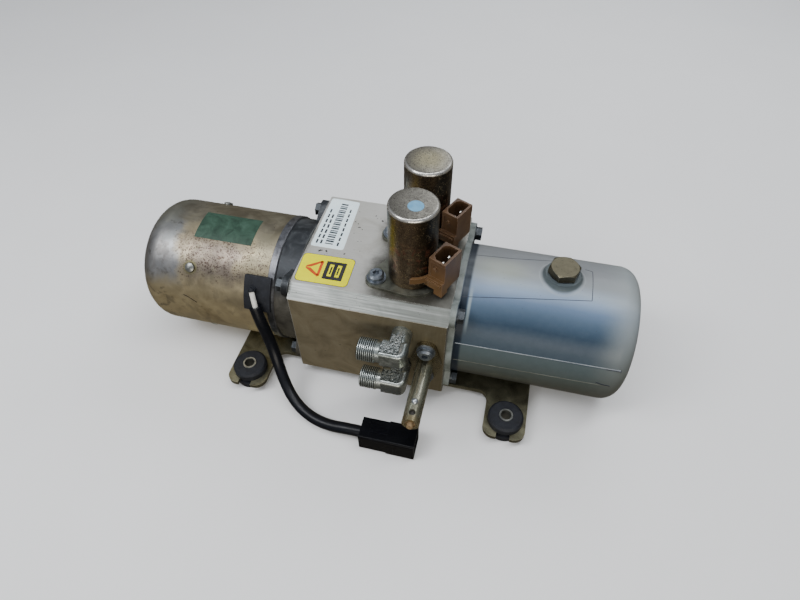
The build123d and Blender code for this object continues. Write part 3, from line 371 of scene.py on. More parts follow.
def coil_metal():
    """Mottled brown and gold plating on the solenoid cans, red patch low on the front one, painted light and
    shade across the sides, painted highlight on the rim
    """
    look = Look("coil_steel", Metallic=0.85)
    big = look.noise(11.0, 5.0, 0.68, warp=1.2)
    small = look.noise(1.3, 5.0, 0.75, warp=0.8)
    both = look.plus(look.times(big, 0.42), look.times(small, 0.58))
    side = look.ramp(both, (0.38, (0.012, 0.008, 0.006)), (0.47, (0.050, 0.032, 0.018)),
                     (0.55, (0.125, 0.088, 0.048)), (0.65, (0.26, 0.205, 0.125)))
    # painted light and shade across each coil's side: lighter in the middle, darker on the left, much darker
    # on the right
    lit = look.band(look.x, 0.010, 0.027, 0.005)
    side = look.over(side, (0.22, 0.165, 0.115), lit, 0.35)
    side = look.mix(look.step(look.x, 0.006, 0.012, 0.5, 0.0), side, (0.030, 0.026, 0.016))
    shade = look.step(look.x, 0.024, 0.035)
    side = look.over(side, (0.012, 0.010, 0.006), shade, 0.85)
    red = look.times(look.step(look.noise(7.0, 4.0, 0.7, warp=1.0), 0.50, 0.62),
                     look.band(look.z, 0.126, 0.152, 0.008))
    side = look.over(side, (0.22, 0.085, 0.055), red, 0.6)
    top = look.ramp(both, (0.36, (0.085, 0.078, 0.066)), (0.52, (0.175, 0.165, 0.14)),
                    (0.66, (0.26, 0.25, 0.21)))
    straw = look.times(look.step(look.y, 0.005, 0.010), look.band(look.y, 0.022, 0.042, 0.008),
                       look.band(look.x, 0.011, 0.031, 0.008))
    top = look.over(top, look.ramp(small, (0.35, (0.24, 0.205, 0.10)), (0.65, (0.38, 0.34, 0.20))), straw,
                    0.7)
    top = look.over(top, (0.036, 0.030, 0.024), look.dots(0.9, 0.14, 0.44), 0.8)
    gold = look.times(look.dots(1.1, 0.10, 0.42), look.step(look.noise(6.0, 3.0), 0.40, 0.60), 0.7)
    side = look.mix(gold, side, (0.34, 0.265, 0.15))
    side = look.over(side, (0.018, 0.013, 0.010), look.dots(0.8, 0.10, 0.40), 0.7)
    tone = look.mix(look.step(look.z, 0.1770, 0.1776), side, top)
    # painted highlight along the rounded top rim
    rim = look.times(look.band(look.z, 0.1756, 0.1777, 0.0004),
                     look.step(look.noise(2.0, 3.0), 0.25, 0.5, 0.45, 1.0))
    tone = look.over(tone, (0.62, 0.61, 0.58), rim, 0.9)
    look.color(tone)
    look.rough(look.less(look.step(both, 0.35, 0.65, 0.40, 0.26), look.times(rim, 0.1)))
    look.bump(small, 0.05, 0.45)
    return look.mat


def tank_plastic():
    """Milky blow-moulded plastic: the oil darkens it up to the filler, the closed end stays pale; a painted
    sky reflection lies on the upper front, with a painted shadow and a painted highlight beside the flange.
    """
    look = Look("tank_polyethylene", Roughness=0.34, IOR=1.46, Specular_IOR_Level=0.14, Coat_Weight=0.04,
                Coat_Roughness=0.25)
    front = look.front()
    wobble = look.times(look.less(look.noise(45.0, 1.0, 0.4), 0.5), 0.02)
    along = look.plus(look.x, wobble)
    turn = look.plus(front, look.times(wobble, 260.0))
    # colour by angle round the tank: dark low down where the oil is, a painted sky-blue reflection on the
    # upper front, grey on top, darker towards the back
    upper = look.ramp(look.step(turn, 18.0, 106.0), (0.00, (0.048, 0.068, 0.088)),
                      (0.16, (0.026, 0.048, 0.078)), (0.34, (0.072, 0.112, 0.168)),
                      (0.48, (0.115, 0.175, 0.275)), (0.62, (0.22, 0.30, 0.42)), (0.74, (0.30, 0.355, 0.42)),
                      (0.86, (0.24, 0.262, 0.275)), (0.97, (0.21, 0.222, 0.23)))
    lower = look.ramp(look.step(turn, -60.0, 20.0), (0.0, (0.050, 0.052, 0.045)),
                      (0.5, (0.050, 0.054, 0.046)), (0.8, (0.066, 0.080, 0.074)),
                      (1.0, (0.070, 0.092, 0.098)))
    body = look.mix(look.step(front, 18.0, 19.0), lower, upper)
    body = look.mix(look.step(turn, 130.0, 205.0), body, (0.058, 0.064, 0.058))
    cream = look.times(look.band(look.x, 0.070, 0.104, 0.012), look.band(front, 78.0, 98.0, 8.0))
    body = look.over(body, (0.34, 0.37, 0.27), cream, 0.4)
    pale = look.step(along, 0.160, 0.188)
    pale_place = look.times(look.step(turn, -20.0, 60.0), look.step(turn, 240.0, 160.0))
    tone = look.over(body, look.ramp(pale_place, (0.0, (0.075, 0.080, 0.072)), (0.5, (0.15, 0.165, 0.16)),
                                     (1.0, (0.27, 0.30, 0.305))), pale, 0.75)
    shadow = look.band(look.x, 0.0605, 0.0662, 0.0012)
    tone = look.over(tone, (0.008, 0.014, 0.024), shadow, 0.92)
    # painted highlight: a bright line on the tank just past the flange, on the upper front
    bright = look.times(look.band(look.x, 0.0668, 0.0690, 0.0008), look.band(turn, 34.0, 64.0, 9.0), 0.5)
    tone = look.mix(bright, tone, (0.42, 0.50, 0.52))
    flange = look.step(look.x, 0.0603, 0.0610, 1.0, 0.0)
    flange_tone = look.ramp(look.noise(9.0, 4.0, 0.6), (0.35, (0.115, 0.132, 0.122)),
                            (0.65, (0.22, 0.245, 0.235)))
    tone = look.mix(flange, tone, flange_tone)
    over = look.less(look.x, BOSS_X * MM)
    away = look.far(over, look.y)
    boss = look.times(look.step(look.z, 0.100, 0.102), look.step(away, 0.0142, 0.0160, 1.0, 0.0))
    tone = look.over(tone, (0.060, 0.078, 0.082), boss, 0.9)
    collar = look.times(look.step(look.z, 0.100, 0.102), look.band(away, 0.0165, 0.0172, 0.0008))
    tone = look.over(tone, (0.42, 0.46, 0.46), collar, 0.35)
    mottling = look.noise(5.0, 4.0, 0.6)
    tone = look.mix(look.step(mottling, 0.3, 0.75, 0.0, 0.012), tone, (0.60, 0.64, 0.70))
    haze = look.times(look.step(look.noise(20.0, 3.0, 0.5, (3.0, 1, 1)), 0.5, 0.7),
                      look.step(turn, 50.0, 75.0), 0.12)
    tone = look.mix(haze, tone, (0.50, 0.53, 0.56))
    dirt = look.times(look.step(look.noise(1.4, 2.0), 0.73, 0.76), 0.6)
    tone = look.mix(dirt, tone, (0.06, 0.06, 0.06))
    look.color(tone)
    look.bump(look.noise(16.0, 3.0), 0.35, 0.25)
    look.bump(look.noise(0.8, 3.0), 0.02, 0.3)
    return look.mat


def forged_zinc():
    """Grey zinc on a forging: satin sides, and on the hose threads painted shade in the roots and painted
    highlights on the crests.
    """
    look = Look("forged_zinc", Metallic=0.9)
    soft = look.noise(4.0, 4.0, 0.65, warp=0.6)
    grains = look.noise(0.8, 3.0, 0.65)
    tone = look.ramp(look.plus(look.times(soft, 0.8), look.times(grains, 0.2)),
                     (0.36, (0.16, 0.18, 0.17)), (0.52, (0.31, 0.34, 0.33)), (0.66, (0.50, 0.545, 0.54)))
    low = look.step(look.z, 0.0643, 0.0647, 1.0, 0.0)
    up = look.less(look.less(look.z, PORT_ZS[0] * MM), look.times(low, (PORT_ZS[1] - PORT_ZS[0]) * MM))
    out = look.less(look.y, PORT_Y * MM)
    radius = look.far(up, out)
    tone = look.over(tone, (0.50, 0.52, 0.49), low, 0.5)
    threaded = look.step(look.x, 0.0060, 0.0066, 1.0, 0.0)
    # painted shade in the thread roots and painted highlights on the crests
    root_shade = look.times(threaded, look.step(radius, 0.00835, 0.00880, 1.0, 0.0))
    crest_highlight = look.times(threaded, look.step(radius, 0.00880, 0.00896))
    tone = look.over(tone, (0.60, 0.66, 0.65), crest_highlight, 0.8)
    tone = look.over(tone, (0.020, 0.024, 0.022), root_shade, 0.92)
    tone = look.over(tone, (0.62, 0.66, 0.65), look.edges(0.5), 0.6)
    look.color(tone)
    look.rough(look.step(soft, 0.35, 0.65, 0.36, 0.24))
    look.bump(grains, 0.02, 0.4)
    return look.mat


def granular_zinc():
    """The raised panels of the forging: coarse bright grains with dark gaps."""
    look = Look("granular_zinc", Metallic=0.9)
    grains = look.noise(1.25, 3.0, 0.62, warp=0.4)
    look.color(look.ramp(grains, (0.40, (0.045, 0.052, 0.050)), (0.50, (0.24, 0.265, 0.26)),
                         (0.58, (0.66, 0.71, 0.70))))
    look.rough(look.step(grains, 0.35, 0.65, 0.5, 0.22))
    look.bump(grains, 0.4, 0.8)
    return look.mat


def rusty_end():
    look = Look("rusty_steel", Metallic=0.35)
    grains = look.noise(0.9, 5.0, 0.7, warp=0.6)
    rust = look.ramp(grains, (0.35, (0.085, 0.058, 0.032)), (0.5, (0.28, 0.19, 0.10)),
                     (0.66, (0.46, 0.34, 0.20)))
    dark = look.ramp(grains, (0.35, (0.020, 0.019, 0.018)), (0.65, (0.075, 0.070, 0.062)))
    look.color(look.mix(look.step(look.y, -0.1138, -0.1130), rust, dark))
    look.rough(look.step(grains, 0.3, 0.7, 0.75, 0.5))
    look.bump(grains, 0.12, 0.8)
    return look.mat


def barrel_metal():
    """Smooth olive plating on the hand pump; its flange is painted the block's dark brown front-face shade.
    """
    look = Look("olive_barrel", Metallic=0.9)
    soft = look.noise(9.0, 3.0, 0.5, (1, 3, 1))
    fine = look.noise(0.6, 3.0, 0.6, (1, 12, 1))
    tone = look.ramp(soft, (0.34, (0.21, 0.20, 0.135)), (0.66, (0.42, 0.41, 0.315)))
    tone = look.over(tone, (0.50, 0.49, 0.40), look.step(fine, 0.40, 0.65), 0.3)
    tip = look.step(look.y, -0.1140, -0.1090, 0.65, 0.0)
    tone = look.mix(tip, tone, (0.33, 0.26, 0.13))
    # painted shade: the flange face is painted the dark brown of the block's shaded front face
    flange = look.step(look.y, -0.0613, -0.0609)
    brown = look.ramp(look.noise(7.0, 4.0, 0.6), (0.35, (0.125, 0.103, 0.056)), (0.65, (0.235, 0.20, 0.12)))
    look.color(look.over(tone, brown, flange, 0.95))
    look.rough(look.step(fine, 0.3, 0.7, 0.20, 0.30))
    look.bump(fine, 0.02, 0.4)
    return look.mat


def brown_plastic():
    """Brown connector plastic, paler where its edges are rubbed."""
    look = Look("brown_plastic", Specular_IOR_Level=0.35)
    tone = look.ramp(look.noise(9.0, 3.0), (0.3, (0.068, 0.035, 0.016)), (0.7, (0.100, 0.054, 0.026)))
    # painted light: the lower front of the front connector is painted a lighter golden brown
    golden = look.times(look.step(look.z, 0.139, 0.118), look.step(look.y, -0.020, -0.034))
    tone = look.over(tone, (0.150, 0.080, 0.024), golden, 0.5)
    tone = look.over(tone, (0.255, 0.165, 0.110), look.edges(0.6), 0.85)
    look.color(tone)
    fine = look.noise(0.4, 2.0, 0.65)
    look.rough(look.step(fine, 0.2, 0.8, 0.34, 0.48))
    look.bump(fine, 0.02, 0.5)
    return look.mat


def adapter_metal():
    """Dark cast adapter; the part below the block's top edge is a warmer, lighter grey."""
    look = Look("cast_adapter", Metallic=0.6)
    clouds = look.noise(12.0, 4.0, 0.62, warp=0.6)
    skin = look.noise(0.9, 3.0, 0.6)
    upper = look.ramp(clouds, (0.32, (0.018, 0.020, 0.023)), (0.52, (0.036, 0.040, 0.045)),
                      (0.68, (0.080, 0.086, 0.092)))
    lower = look.ramp(clouds, (0.32, (0.050, 0.047, 0.039)), (0.68, (0.120, 0.114, 0.098)))
    tone = look.over(upper, lower, look.step(look.z, 0.092, 0.080), look.step(look.y, -0.020, -0.034))
    tone = look.over(tone, (0.20, 0.205, 0.20), look.edges(0.8), 0.6)
    look.color(tone)
    look.rough(look.step(clouds, 0.3, 0.7, 0.40, 0.55))
    look.bump(skin, 0.08, 0.5)
    return look.mat


def make_looks():
    grey_steel = dict(rough=(0.28, 0.42), size=5.0)
    looks = {"can": can_metal(), "block": block_metal(), "coil": coil_metal(), "tank": tank_plastic(),
             "forged": forged_zinc(), "granular": granular_zinc(), "rusty": rusty_end(),
             "cast": adapter_metal(), "ring": metal("can_rim_steel", (0.085, 0.086, 0.092),
                                                    (0.22, 0.225, 0.245), (0.3, 0.45), 5.0, 0.6, 0.03,
                                                    spots=(0.10, 0.08, 0.07)),
             "zinc": metal("blue_zinc", (0.085, 0.100, 0.12), (0.28, 0.31, 0.35), wear=(0.46, 0.49, 0.52),
                           **grey_steel), "bolt": metal("dull_bolt", (0.030, 0.034, 0.038),
                                                        (0.095, 0.105, 0.115), (0.42, 0.58), 5.0,
                                                        wear=(0.16, 0.17, 0.18)),
             "bright_zinc": metal("bright_zinc", (0.30, 0.33, 0.36), (0.62, 0.66, 0.70),
                                  wear=(0.85, 0.87, 0.88), **grey_steel),
             "washer": metal("dull_zinc", (0.16, 0.17, 0.165), (0.34, 0.345, 0.32), **grey_steel),
             "plate": metal("yellow_zinc", (0.085, 0.080, 0.052), (0.24, 0.23, 0.155), (0.34, 0.5), 14.0, 0.7,
                            0.03, wear=(0.50, 0.47, 0.33), spots=(0.06, 0.05, 0.035)),
             "flange": metal("olive_zinc", (0.075, 0.078, 0.062), (0.19, 0.195, 0.16), (0.38, 0.5), 7.0, 0.6,
                             0.03, wear=(0.36, 0.36, 0.31), spots=(0.04, 0.036, 0.03)),
             "barrel": barrel_metal(), "plug": metal("plug_zinc", (0.034, 0.030, 0.019),
                                                     (0.105, 0.095, 0.062), (0.26, 0.42), 5.0, 0.6, 0.03,
                                                     wear=(0.42, 0.40, 0.31), spots=(0.04, 0.03, 0.02)),
             "steel": metal("ground_steel", (0.42, 0.42, 0.43), (0.66, 0.66, 0.67), (0.18, 0.3), 8.0),
             "spring": metal("spring_wire", (0.25, 0.25, 0.27), (0.5, 0.5, 0.52), (0.25, 0.35), 3.0),
             "lamination": metal("laminated_steel", (0.20, 0.20, 0.21), (0.42, 0.42, 0.43), (0.4, 0.55), 8.0,
                                 0.5, 0.05, (1, 40, 40)), "copper": metal("copper", (0.42, 0.17, 0.08),
                                                                          (0.78, 0.42, 0.24), (0.25, 0.4),
                                                                          4.0), "blade": metal("tinned_brass",
                                                                                               (0.70, 0.68,
                                                                                                0.62),
                                                                                               (0.92, 0.91,
                                                                                                0.87),
                                                                                               (0.12, 0.22),
                                                                                               3.0),
             "carbon": plastic("carbon", (0.06, 0.06, 0.06), (0.03, 0.03, 0.03), (0.5, 0.7)),
             "rubber": plastic("black_rubber", (0.014, 0.016, 0.022), (0.007, 0.008, 0.011), (0.5, 0.7), 6.0,
                               0.5, 0.03, wear=(0.035, 0.04, 0.05), dust=(0.035, 0.035, 0.038), shine=0.3),
             "brown": brown_plastic(), "black": plastic("black_plastic", (0.0022, 0.0025, 0.004),
                                                        (0.001, 0.0011, 0.0018), (0.20, 0.32), 6.0, 0.5, 0.02,
                                                        wear=(0.018, 0.019, 0.025), shine=0.12),
             "sleeve": plastic("black_sleeve", (0.0035, 0.0042, 0.0075), (0.0016, 0.002, 0.0035),
                               (0.26, 0.40), 8.0, 1.2, 0.08, dust=(0.010, 0.011, 0.016), shine=0.25),
             "white": plastic("white_insulation", (0.76, 0.75, 0.71), (0.58, 0.56, 0.52), (0.4, 0.5), 3.0),
             "strainer": plastic("strainer_mesh", (0.55, 0.50, 0.40), (0.40, 0.36, 0.28), (0.5, 0.7), 1.0,
                                 0.4, 0.1),}
    return looks


CAD_LOOKS = {
    "block": ["manifold_block", "pump_body", "pump_cover"],
    "cast": ["motor_adapter"],
    "tank": ["tank"],
    "plate": ["mounting_plate"],
    "flange": ["coil_flanges"],
    "forged": ["elbow_upper", "elbow_lower"],
    "barrel": ["hand_pump_barrel"],
    "rusty": ["hand_pump_plunger"],
    "zinc": ["torx_screws", "plate_screws", "relief_adjuster"],
    "bolt": ["flange_screws"],
    "bright_zinc": ["detent_ball"],
    "washer": ["pole_screws", "bush_sleeves", "pump_screws", "valve_tubes", "return_tube", "suction_tube"],
    "plug": ["filler_plug"],
    "steel": ["motor_shaft", "shaft_bearings", "shaft_coupling", "drive_gear", "driven_gear", "relief_poppet",
              "valve_plunger_front", "valve_plunger_rear"],
    "spring": ["brush_springs", "valve_spring_front", "valve_spring_rear", "plunger_spring", "relief_spring"],
    "lamination": ["pole_shoes", "armature_core"],
    "copper": ["field_coils", "armature_winding", "commutator", "coil_windings"],
    "blade": ["connector_blades", "lead_terminals"],
    "carbon": ["brushes"],
    "rubber": ["rubber_bushes", "cable_grommet", "shaft_seal", "tank_seal", "filler_seal"],
    "brown": ["coil_connector_front", "coil_connector_rear"],
    "black": ["lead_connector", "brush_holder"],
    "strainer": ["suction_filter"],
}
ROUNDED = {"manifold_block": 0.6, "motor_adapter": 1.2, "tank": 0.8, "mounting_plate": 0.5,
           "coil_flanges": 0.4, "elbow_upper": 0.5, "elbow_lower": 0.5, "hand_pump_barrel": 0.4,
           "flange_screws": 0.35, "torx_screws": 0.3, "filler_plug": 0.5, "rubber_bushes": 1.0,
           "bush_sleeves": 0.3, "cable_grommet": 0.8, "coil_connector_front": 0.35,
           "coil_connector_rear": 0.35, "lead_connector": 0.5, "relief_adjuster": 0.4, "plate_screws": 0.3,
           "connector_blades": 0.15, "hand_pump_plunger": 0.3}


def dress_cad_nodes():
    for look, nodes in CAD_LOOKS.items():
        for name in nodes:
            node = NODE[name]
            node.data.materials.clear()
            node.data.materials.append(LOOKS[look])
            for polygon in node.data.polygons:
                polygon.material_index = 0
    for name, width in ROUNDED.items():
        bevel = NODE[name].modifiers.new("rounded edges", "BEVEL")
        bevel.width, bevel.segments = width * MM, 3
        bevel.limit_method, bevel.angle_limit = "ANGLE", math.radians(32)
        bevel.harden_normals = True


# ---------------------------------------------------------------- mesh helpers
def add_piece(name, verts, faces, look, body="housing", smooth=True, indices=None):
    mesh = bpy.data.meshes.new(name)
    mesh.from_pydata([Vector(v) * MM for v in verts], [], faces)
    looks = look if isinstance(look, list) else [look]
    for item in looks:
        mesh.materials.append(item)
    if indices:
        mesh.polygons.foreach_set("material_index", indices)
    piece = bpy.data.objects.new(name, mesh)
    bpy.context.scene.collection.objects.link(piece)
    tidy = bmesh.new()
    tidy.from_mesh(mesh)
    bmesh.ops.recalc_face_normals(tidy, faces=tidy.faces)
    for edge in tidy.edges:
        edge.smooth = not edge.is_manifold or edge.calc_face_angle(0.0) < math.radians(35)
    for face in tidy.faces:
        face.smooth = smooth
    tidy.to_mesh(mesh)
    tidy.free()
    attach(piece, body)
    return piece


def arc(cx, cy, r, start, end, steps=8):
    """Points of an arc about (cx, cy), angles in degrees."""
    angles = [math.radians(start + (end - start) * i / steps) for i in range(steps + 1)]
    return [(cx + r * math.cos(a), cy + r * math.sin(a)) for a in angles]


def spun(profile, place, segments=128):
    """Closed outline of (along, radius) turned about an axis; place(along, radius, angle) gives the point."""
    verts, faces, rows = [], [], []
    for along, radius in profile:
        if radius < 1e-6:
            rows.append([len(verts)] * segments)
            verts.append(place(along, 0.0, 0.0))
        else:
            rows.append(list(range(len(verts), len(verts) + segments)))
            verts += [place(along, radius, 2 * math.pi * k / segments) for k in range(segments)]
    for a, b in zip(rows, rows[1:] + rows[:1]):
        for k in range(segments):
            corners = [a[k], a[(k + 1) % segments], b[(k + 1) % segments], b[k]]
            corners = list(dict.fromkeys(corners))
            if len(corners) > 2:
                faces.append(corners)
    return verts, faces


def about_x(along, radius, angle):
    return (along, radius * math.cos(angle), AXIS_Z + radius * math.sin(angle))


def about_z(cx, cy):
    return lambda along, radius, angle: (cx + radius * math.cos(angle), cy + radius * math.sin(angle), along)


def on_axis(x, front_deg, radius):
    """Point at a place along the unit's axis, degrees from the front towards the top, and radius."""
    a = math.radians(front_deg)
    return (x, -radius * math.cos(a), AXIS_Z + radius * math.sin(a))


def cylinder_patch(points_a, points_b, inner, outer):
    """Thin curved sheet between two rows of (x, front angle), from one radius to another."""
    n = len(points_a)
    verts = [on_axis(x, f, r) for r in (inner, outer) for row in (points_a, points_b) for x, f in row]
    quad = lambda i, j: i * n + j
    faces = []
    for j in range(n - 1):
        faces.append([quad(2, j), quad(2, j + 1), quad(3, j + 1), quad(3, j)])
        faces.append([quad(0, j), quad(1, j), quad(1, j + 1), quad(0, j + 1)])
        faces.append([quad(0, j), quad(0, j + 1), quad(2, j + 1), quad(2, j)])
        faces.append([quad(1, j), quad(3, j), quad(3, j + 1), quad(1, j + 1)])
    for j in (0, n - 1):
        faces.append([quad(0, j), quad(2, j), quad(3, j), quad(1, j)])
    return verts, faces


def rounded_outline(corner, aspect=1.0):
    """Unit square with rounded corners; corner is the radius as a share of its width."""
    cy = corner * aspect
    spots = ((1 - corner, 1 - cy, 0), (corner, 1 - cy, 90), (corner, cy, 180), (1 - corner, cy, 270))
    points = []
    for cx, cz, start in spots:
        for u, v in arc(0, 0, 1, start, start + 90, 5):
            points.append((cx + corner * u, cz + cy * v))
    return points


# ---------------------------------------------------------------- motor lead
LEAD_EXIT = (-102.0, 147.0, 61.1)
LEAD_ROUTE = [(-94.5, -62.0, 69.2), (-91.3, -63.2, 55.4), (-87.8, -65.9, 41.2), (-82.4, -72.4, 27.8),
              (-74.9, -81.9, 17.2), (-66.0, -90.9, 10.8), (-54.7, -98.7, 6.8), (-41.5, -104.1, 5.2),
              (-27.7, -107.0, 6.1), (-13.5, -108.0, 9.5), (0.0, -108.0, 9.5)]


def make_cords():
    exit_x, exit_angle, exit_r = LEAD_EXIT
    a = math.radians(exit_angle)
    start = Vector((exit_x, exit_r * math.cos(a), AXIS_Z + exit_r * math.sin(a)))
    second = start + 13.0 * Vector((0.30, -math.sin(a), math.cos(a))).normalized()
    route = [start, second] + [Vector(p) for p in LEAD_ROUTE]
    cords = (("motor_lead_wire", route, 2.1, "white", "white_insulation"),
             ("lead_sleeve_tube", route[1:], 4.75, "sleeve", "black_plastic"))
    for name, points, radius, look, slot in cords:
        data = bpy.data.curves.new(name, "CURVE")
        data.dimensions = "3D"
        spline = data.splines.new("NURBS")
        spline.points.add(len(points) - 1)
        for point, place in zip(spline.points, points):
            point.co = (*(place * MM), 1.0)
        spline.order_u = 3
        spline.use_endpoint_u = True
        data.resolution_u = 16
        data.bevel_depth = radius * MM
        data.bevel_resolution = 6
        data.use_fill_caps = True
        data.materials.append(LOOKS[look])
        piece = bpy.data.objects.new(name, data)
        bpy.context.scene.collection.objects.link(piece)
        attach(piece, "housing")
        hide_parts("motor_lead" if name == "motor_lead_wire" else "lead_sleeve")


# ---------------------------------------------------------------- detailed pieces
def make_can():
    x0, x1, corner, wall = -210.5, -91.0, 20.0, 2.4
    outer = arc(x0 + corner, CAN_R - corner, corner, 180, 90, 16)
    outer += [(x1 - 0.6, CAN_R), (x1, CAN_R - 0.6)]
    inner = [(x1, CAN_R - wall)] + arc(x0 + corner, CAN_R - corner, corner - wall, 90, 180, 12)
    profile = [(x0, 0.0), (x0, 16.0)] + outer + inner + [(x0 + wall, 0.0)]
    verts, faces = spun(profile, about_x, 192)
    can = add_piece("motor_can_shell", verts, faces, LOOKS["can"])
    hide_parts("motor_can")
    ring = [(-92.8, 52.5), (-92.8, 53.8), (-92.2, 54.35), (-87.0, 54.35), (-86.4, 53.8), (-86.4, 52.5)]
    verts, faces = spun(ring, about_x, 192)
    add_piece("can_rim_ring", verts, faces, LOOKS["ring"])
    scratch = plastic("scratch_shadow", (0.040, 0.034, 0.026), (0.02, 0.017, 0.013), (0.6, 0.8), shine=0.2)
    strip_on_axis("can_scratch", [(-166.7, 15.3), (-163.0, 13.8), (-159.0, 11.3), (-155.5, 9.0)], 1.0, 53.9,
                  54.05, scratch)


def make_coil_cans():
    radius, z0, z1, fillet_r = 18.25, 110.0, 178.0, 2.6
    for side, y in zip(("front", "rear"), COIL_YS):
        profile = [(z0, 16.6), (z0, radius - 0.3), (z0 + 0.3, radius)]
        profile += [(z0 + (z1 - fillet_r - z0) * k / 6, radius) for k in range(1, 6)]
        profile += [(z1 - fillet_r + v, radius - fillet_r + u) for u, v in arc(0, 0, fillet_r, 0, 90, 8)]
        profile += [(z1, 8.0), (z1, 0.0), (z1 - 2.4, 0.0), (z1 - 2.4, 16.6)]
        verts, faces = spun(profile, about_z(COIL_X, y), 96)
        can = add_piece("coil_can_shell_" + side, verts, faces, LOOKS["coil"])
        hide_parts("coil_can_" + side)


def flat_label(name, corners, z, corner_r, base, marks=(), aspect=1.0):
    """Rounded label on a level face. corners are front-left, front-right, back-right, back-left; marks are
    (look, outline in label coordinates) shapes printed on it."""
    thick, lift = 0.14, 0.03

    def spot(u, v, level):
        front = Vector(corners[0]).lerp(Vector(corners[1]), u)
        back = Vector(corners[3]).lerp(Vector(corners[2]), u)
        point = front.lerp(back, v)
        return (point.x, point.y, z + level)

    verts, faces, indices = [], [], []

    def slab(outline, low, high, index):
        n, first = len(outline), len(verts)
        verts.extend(spot(u, v, low) for u, v in outline)
        verts.extend(spot(u, v, high) for u, v in outline)
        faces.append([first + n + i for i in range(n)])
        faces.append([first + i for i in reversed(range(n))])
        for i in range(n):
            j = (i + 1) % n
            faces.append([first + i, first + j, first + n + j, first + n + i])
        indices.extend([index] * (n + 2))

    slab(rounded_outline(corner_r, aspect), 0.0, thick, 0)
    looks = [base]
    for look, outline in marks:
        if look not in looks:
            looks.append(look)
        slab(outline, thick - 0.02, thick + lift, looks.index(look))
    return add_piece(name, verts, faces, looks, smooth=False, indices=indices)


def box_mark(u0, u1, v0, v1):
    return [(u0, v0), (u1, v0), (u1, v1), (u0, v1)]


def frame_marks(look, u0, u1, v0, v1, wu, wv):
    """Four bars that make a rectangular frame."""
    return [(look, box_mark(u0, u1, v0, v0 + wv)), (look, box_mark(u0, u1, v1 - wv, v1)),
            (look, box_mark(u0, u0 + wu, v0 + wv, v1 - wv)), (look, box_mark(u1 - wu, u1, v0 + wv, v1 - wv))]


def make_labels():
    yellow = plastic("label_yellow", (0.84, 0.80, 0.0), (0.76, 0.72, 0.0), (0.5, 0.6), 12.0, 0.6, 0.01,
                     shine=0.0)
    white = plastic("label_white", (0.86, 0.99, 1.0), (0.78, 0.92, 0.97), (0.22, 0.34), 9.0, 0.6, 0.01,
                    shine=0.7)
    ink = plastic("label_ink", (0.03, 0.03, 0.03), (0.015, 0.015, 0.015), (0.4, 0.5))
    orange = plastic("label_orange", (0.60, 0.075, 0.008), (0.5, 0.055, 0.006), (0.4, 0.5))
    grey = plastic("label_grey", (0.030, 0.032, 0.045), (0.018, 0.019, 0.026), (0.4, 0.5), shine=0.2)
    edge = plastic("label_edge", (0.035, 0.032, 0.022), (0.02, 0.018, 0.012), (0.5, 0.6), shine=0.2)
    marks = [(orange, [(0.12, 0.50), (0.135, 0.56), (0.395, 0.80), (0.425, 0.76), (0.22, 0.53)]),
             (orange, [(0.12, 0.50), (0.22, 0.49), (0.425, 0.26), (0.395, 0.21), (0.135, 0.45)]),
             (orange, [(0.375, 0.26), (0.375, 0.77), (0.43, 0.78), (0.43, 0.25)])]
    marks += frame_marks(ink, 0.49, 0.87, 0.17, 0.82, 0.075, 0.11)
    marks += [(ink, box_mark(0.645, 0.715, 0.28, 0.71)), (ink, box_mark(0.595, 0.625, 0.36, 0.63)),
              (ink, box_mark(0.735, 0.765, 0.36, 0.63))]
    flat_label("notice_label_edge", [(-66.9, -44.55), (-24.75, -43.55), (-25.55, -13.35), (-68.55, -14.45)],
               BLOCK_TOP - 0.04, 0.085, edge, aspect=1.4)
    flat_label("notice_label", [(-66.5, -44.2), (-25.1, -43.2), (-25.9, -13.7), (-68.2, -14.8)], BLOCK_TOP,
               0.085, yellow, marks, 1.4)
    marks = []
    for k in range(20):
        v = 0.07 + 0.043 * k
        marks.append((grey, box_mark(0.40, 0.64, v, v + (0.020, 0.030, 0.024, 0.034)[k * k % 4])))
    for u, tall in ((0.12, 0.055), (0.25, 0.06)):
        marks += [(grey, box_mark(u, u + tall, 0.06 + 0.105 * k,
                                  0.135 + 0.105 * k)) for k in range(7 if u < 0.2 else 6)]
    marks += [(grey, box_mark(0.76, 0.815, 0.06 + 0.098 * k, 0.13 + 0.098 * k)) for k in range(8)]
    flat_label("part_label", [(-67.1, -5.4), (-39.2, -5.4), (-42.0, 54.6), (-67.3, 55.2)], BLOCK_TOP, 0.07,
               white, marks, 0.5)
    green = Look("label_green")
    patches = green.noise(8.0, 4.0, 0.65, warp=0.7)
    tone = green.ramp(patches, (0.30, (0.010, 0.030, 0.018)), (0.55, (0.021, 0.060, 0.037)),
                      (0.75, (0.036, 0.085, 0.058)))
    green.color(green.over(tone, (0.03, 0.05, 0.035), green.step(green.noise(1.2, 3.0), 0.60, 0.70), 0.5))
    green.rough(green.step(patches, 0.3, 0.7, 0.40, 0.58))
    green.bump(green.noise(5.0, 3.0, 0.5, warp=1.5), 0.15, 0.5)
    xs = [-162.5 + 2.5 * k for k in range(21)]
    verts, faces, rows = [], [], 14
    angles = [69.5 + (99.3 - 69.5) * k / rows for k in range(rows + 1)]
    count = len(xs)
    for radius in (CAN_R, CAN_R + 0.16):
        for angle in angles:
            verts += [on_axis(x, angle, radius) for x in xs]
    layer = count * (rows + 1)
    for i in range(rows):
        for j in range(count - 1):
            low = i * count + j
            quad = [low, low + 1, low + 1 + count, low + count]
            faces.append([layer + k for k in quad])
            faces.append(list(reversed(quad)))
    ring = list(range(count)) + [i * count + count - 1 for i in range(1, rows + 1)]
    ring += [rows * count + j for j in range(count - 2, -1, -1)] + [i * count for i in range(rows - 1, 0, -1)]
    for a, b in zip(ring, ring[1:] + ring[:1]):
        faces.append([a, b, layer + b, layer + a])
    add_piece("can_label", verts, faces, green.mat)


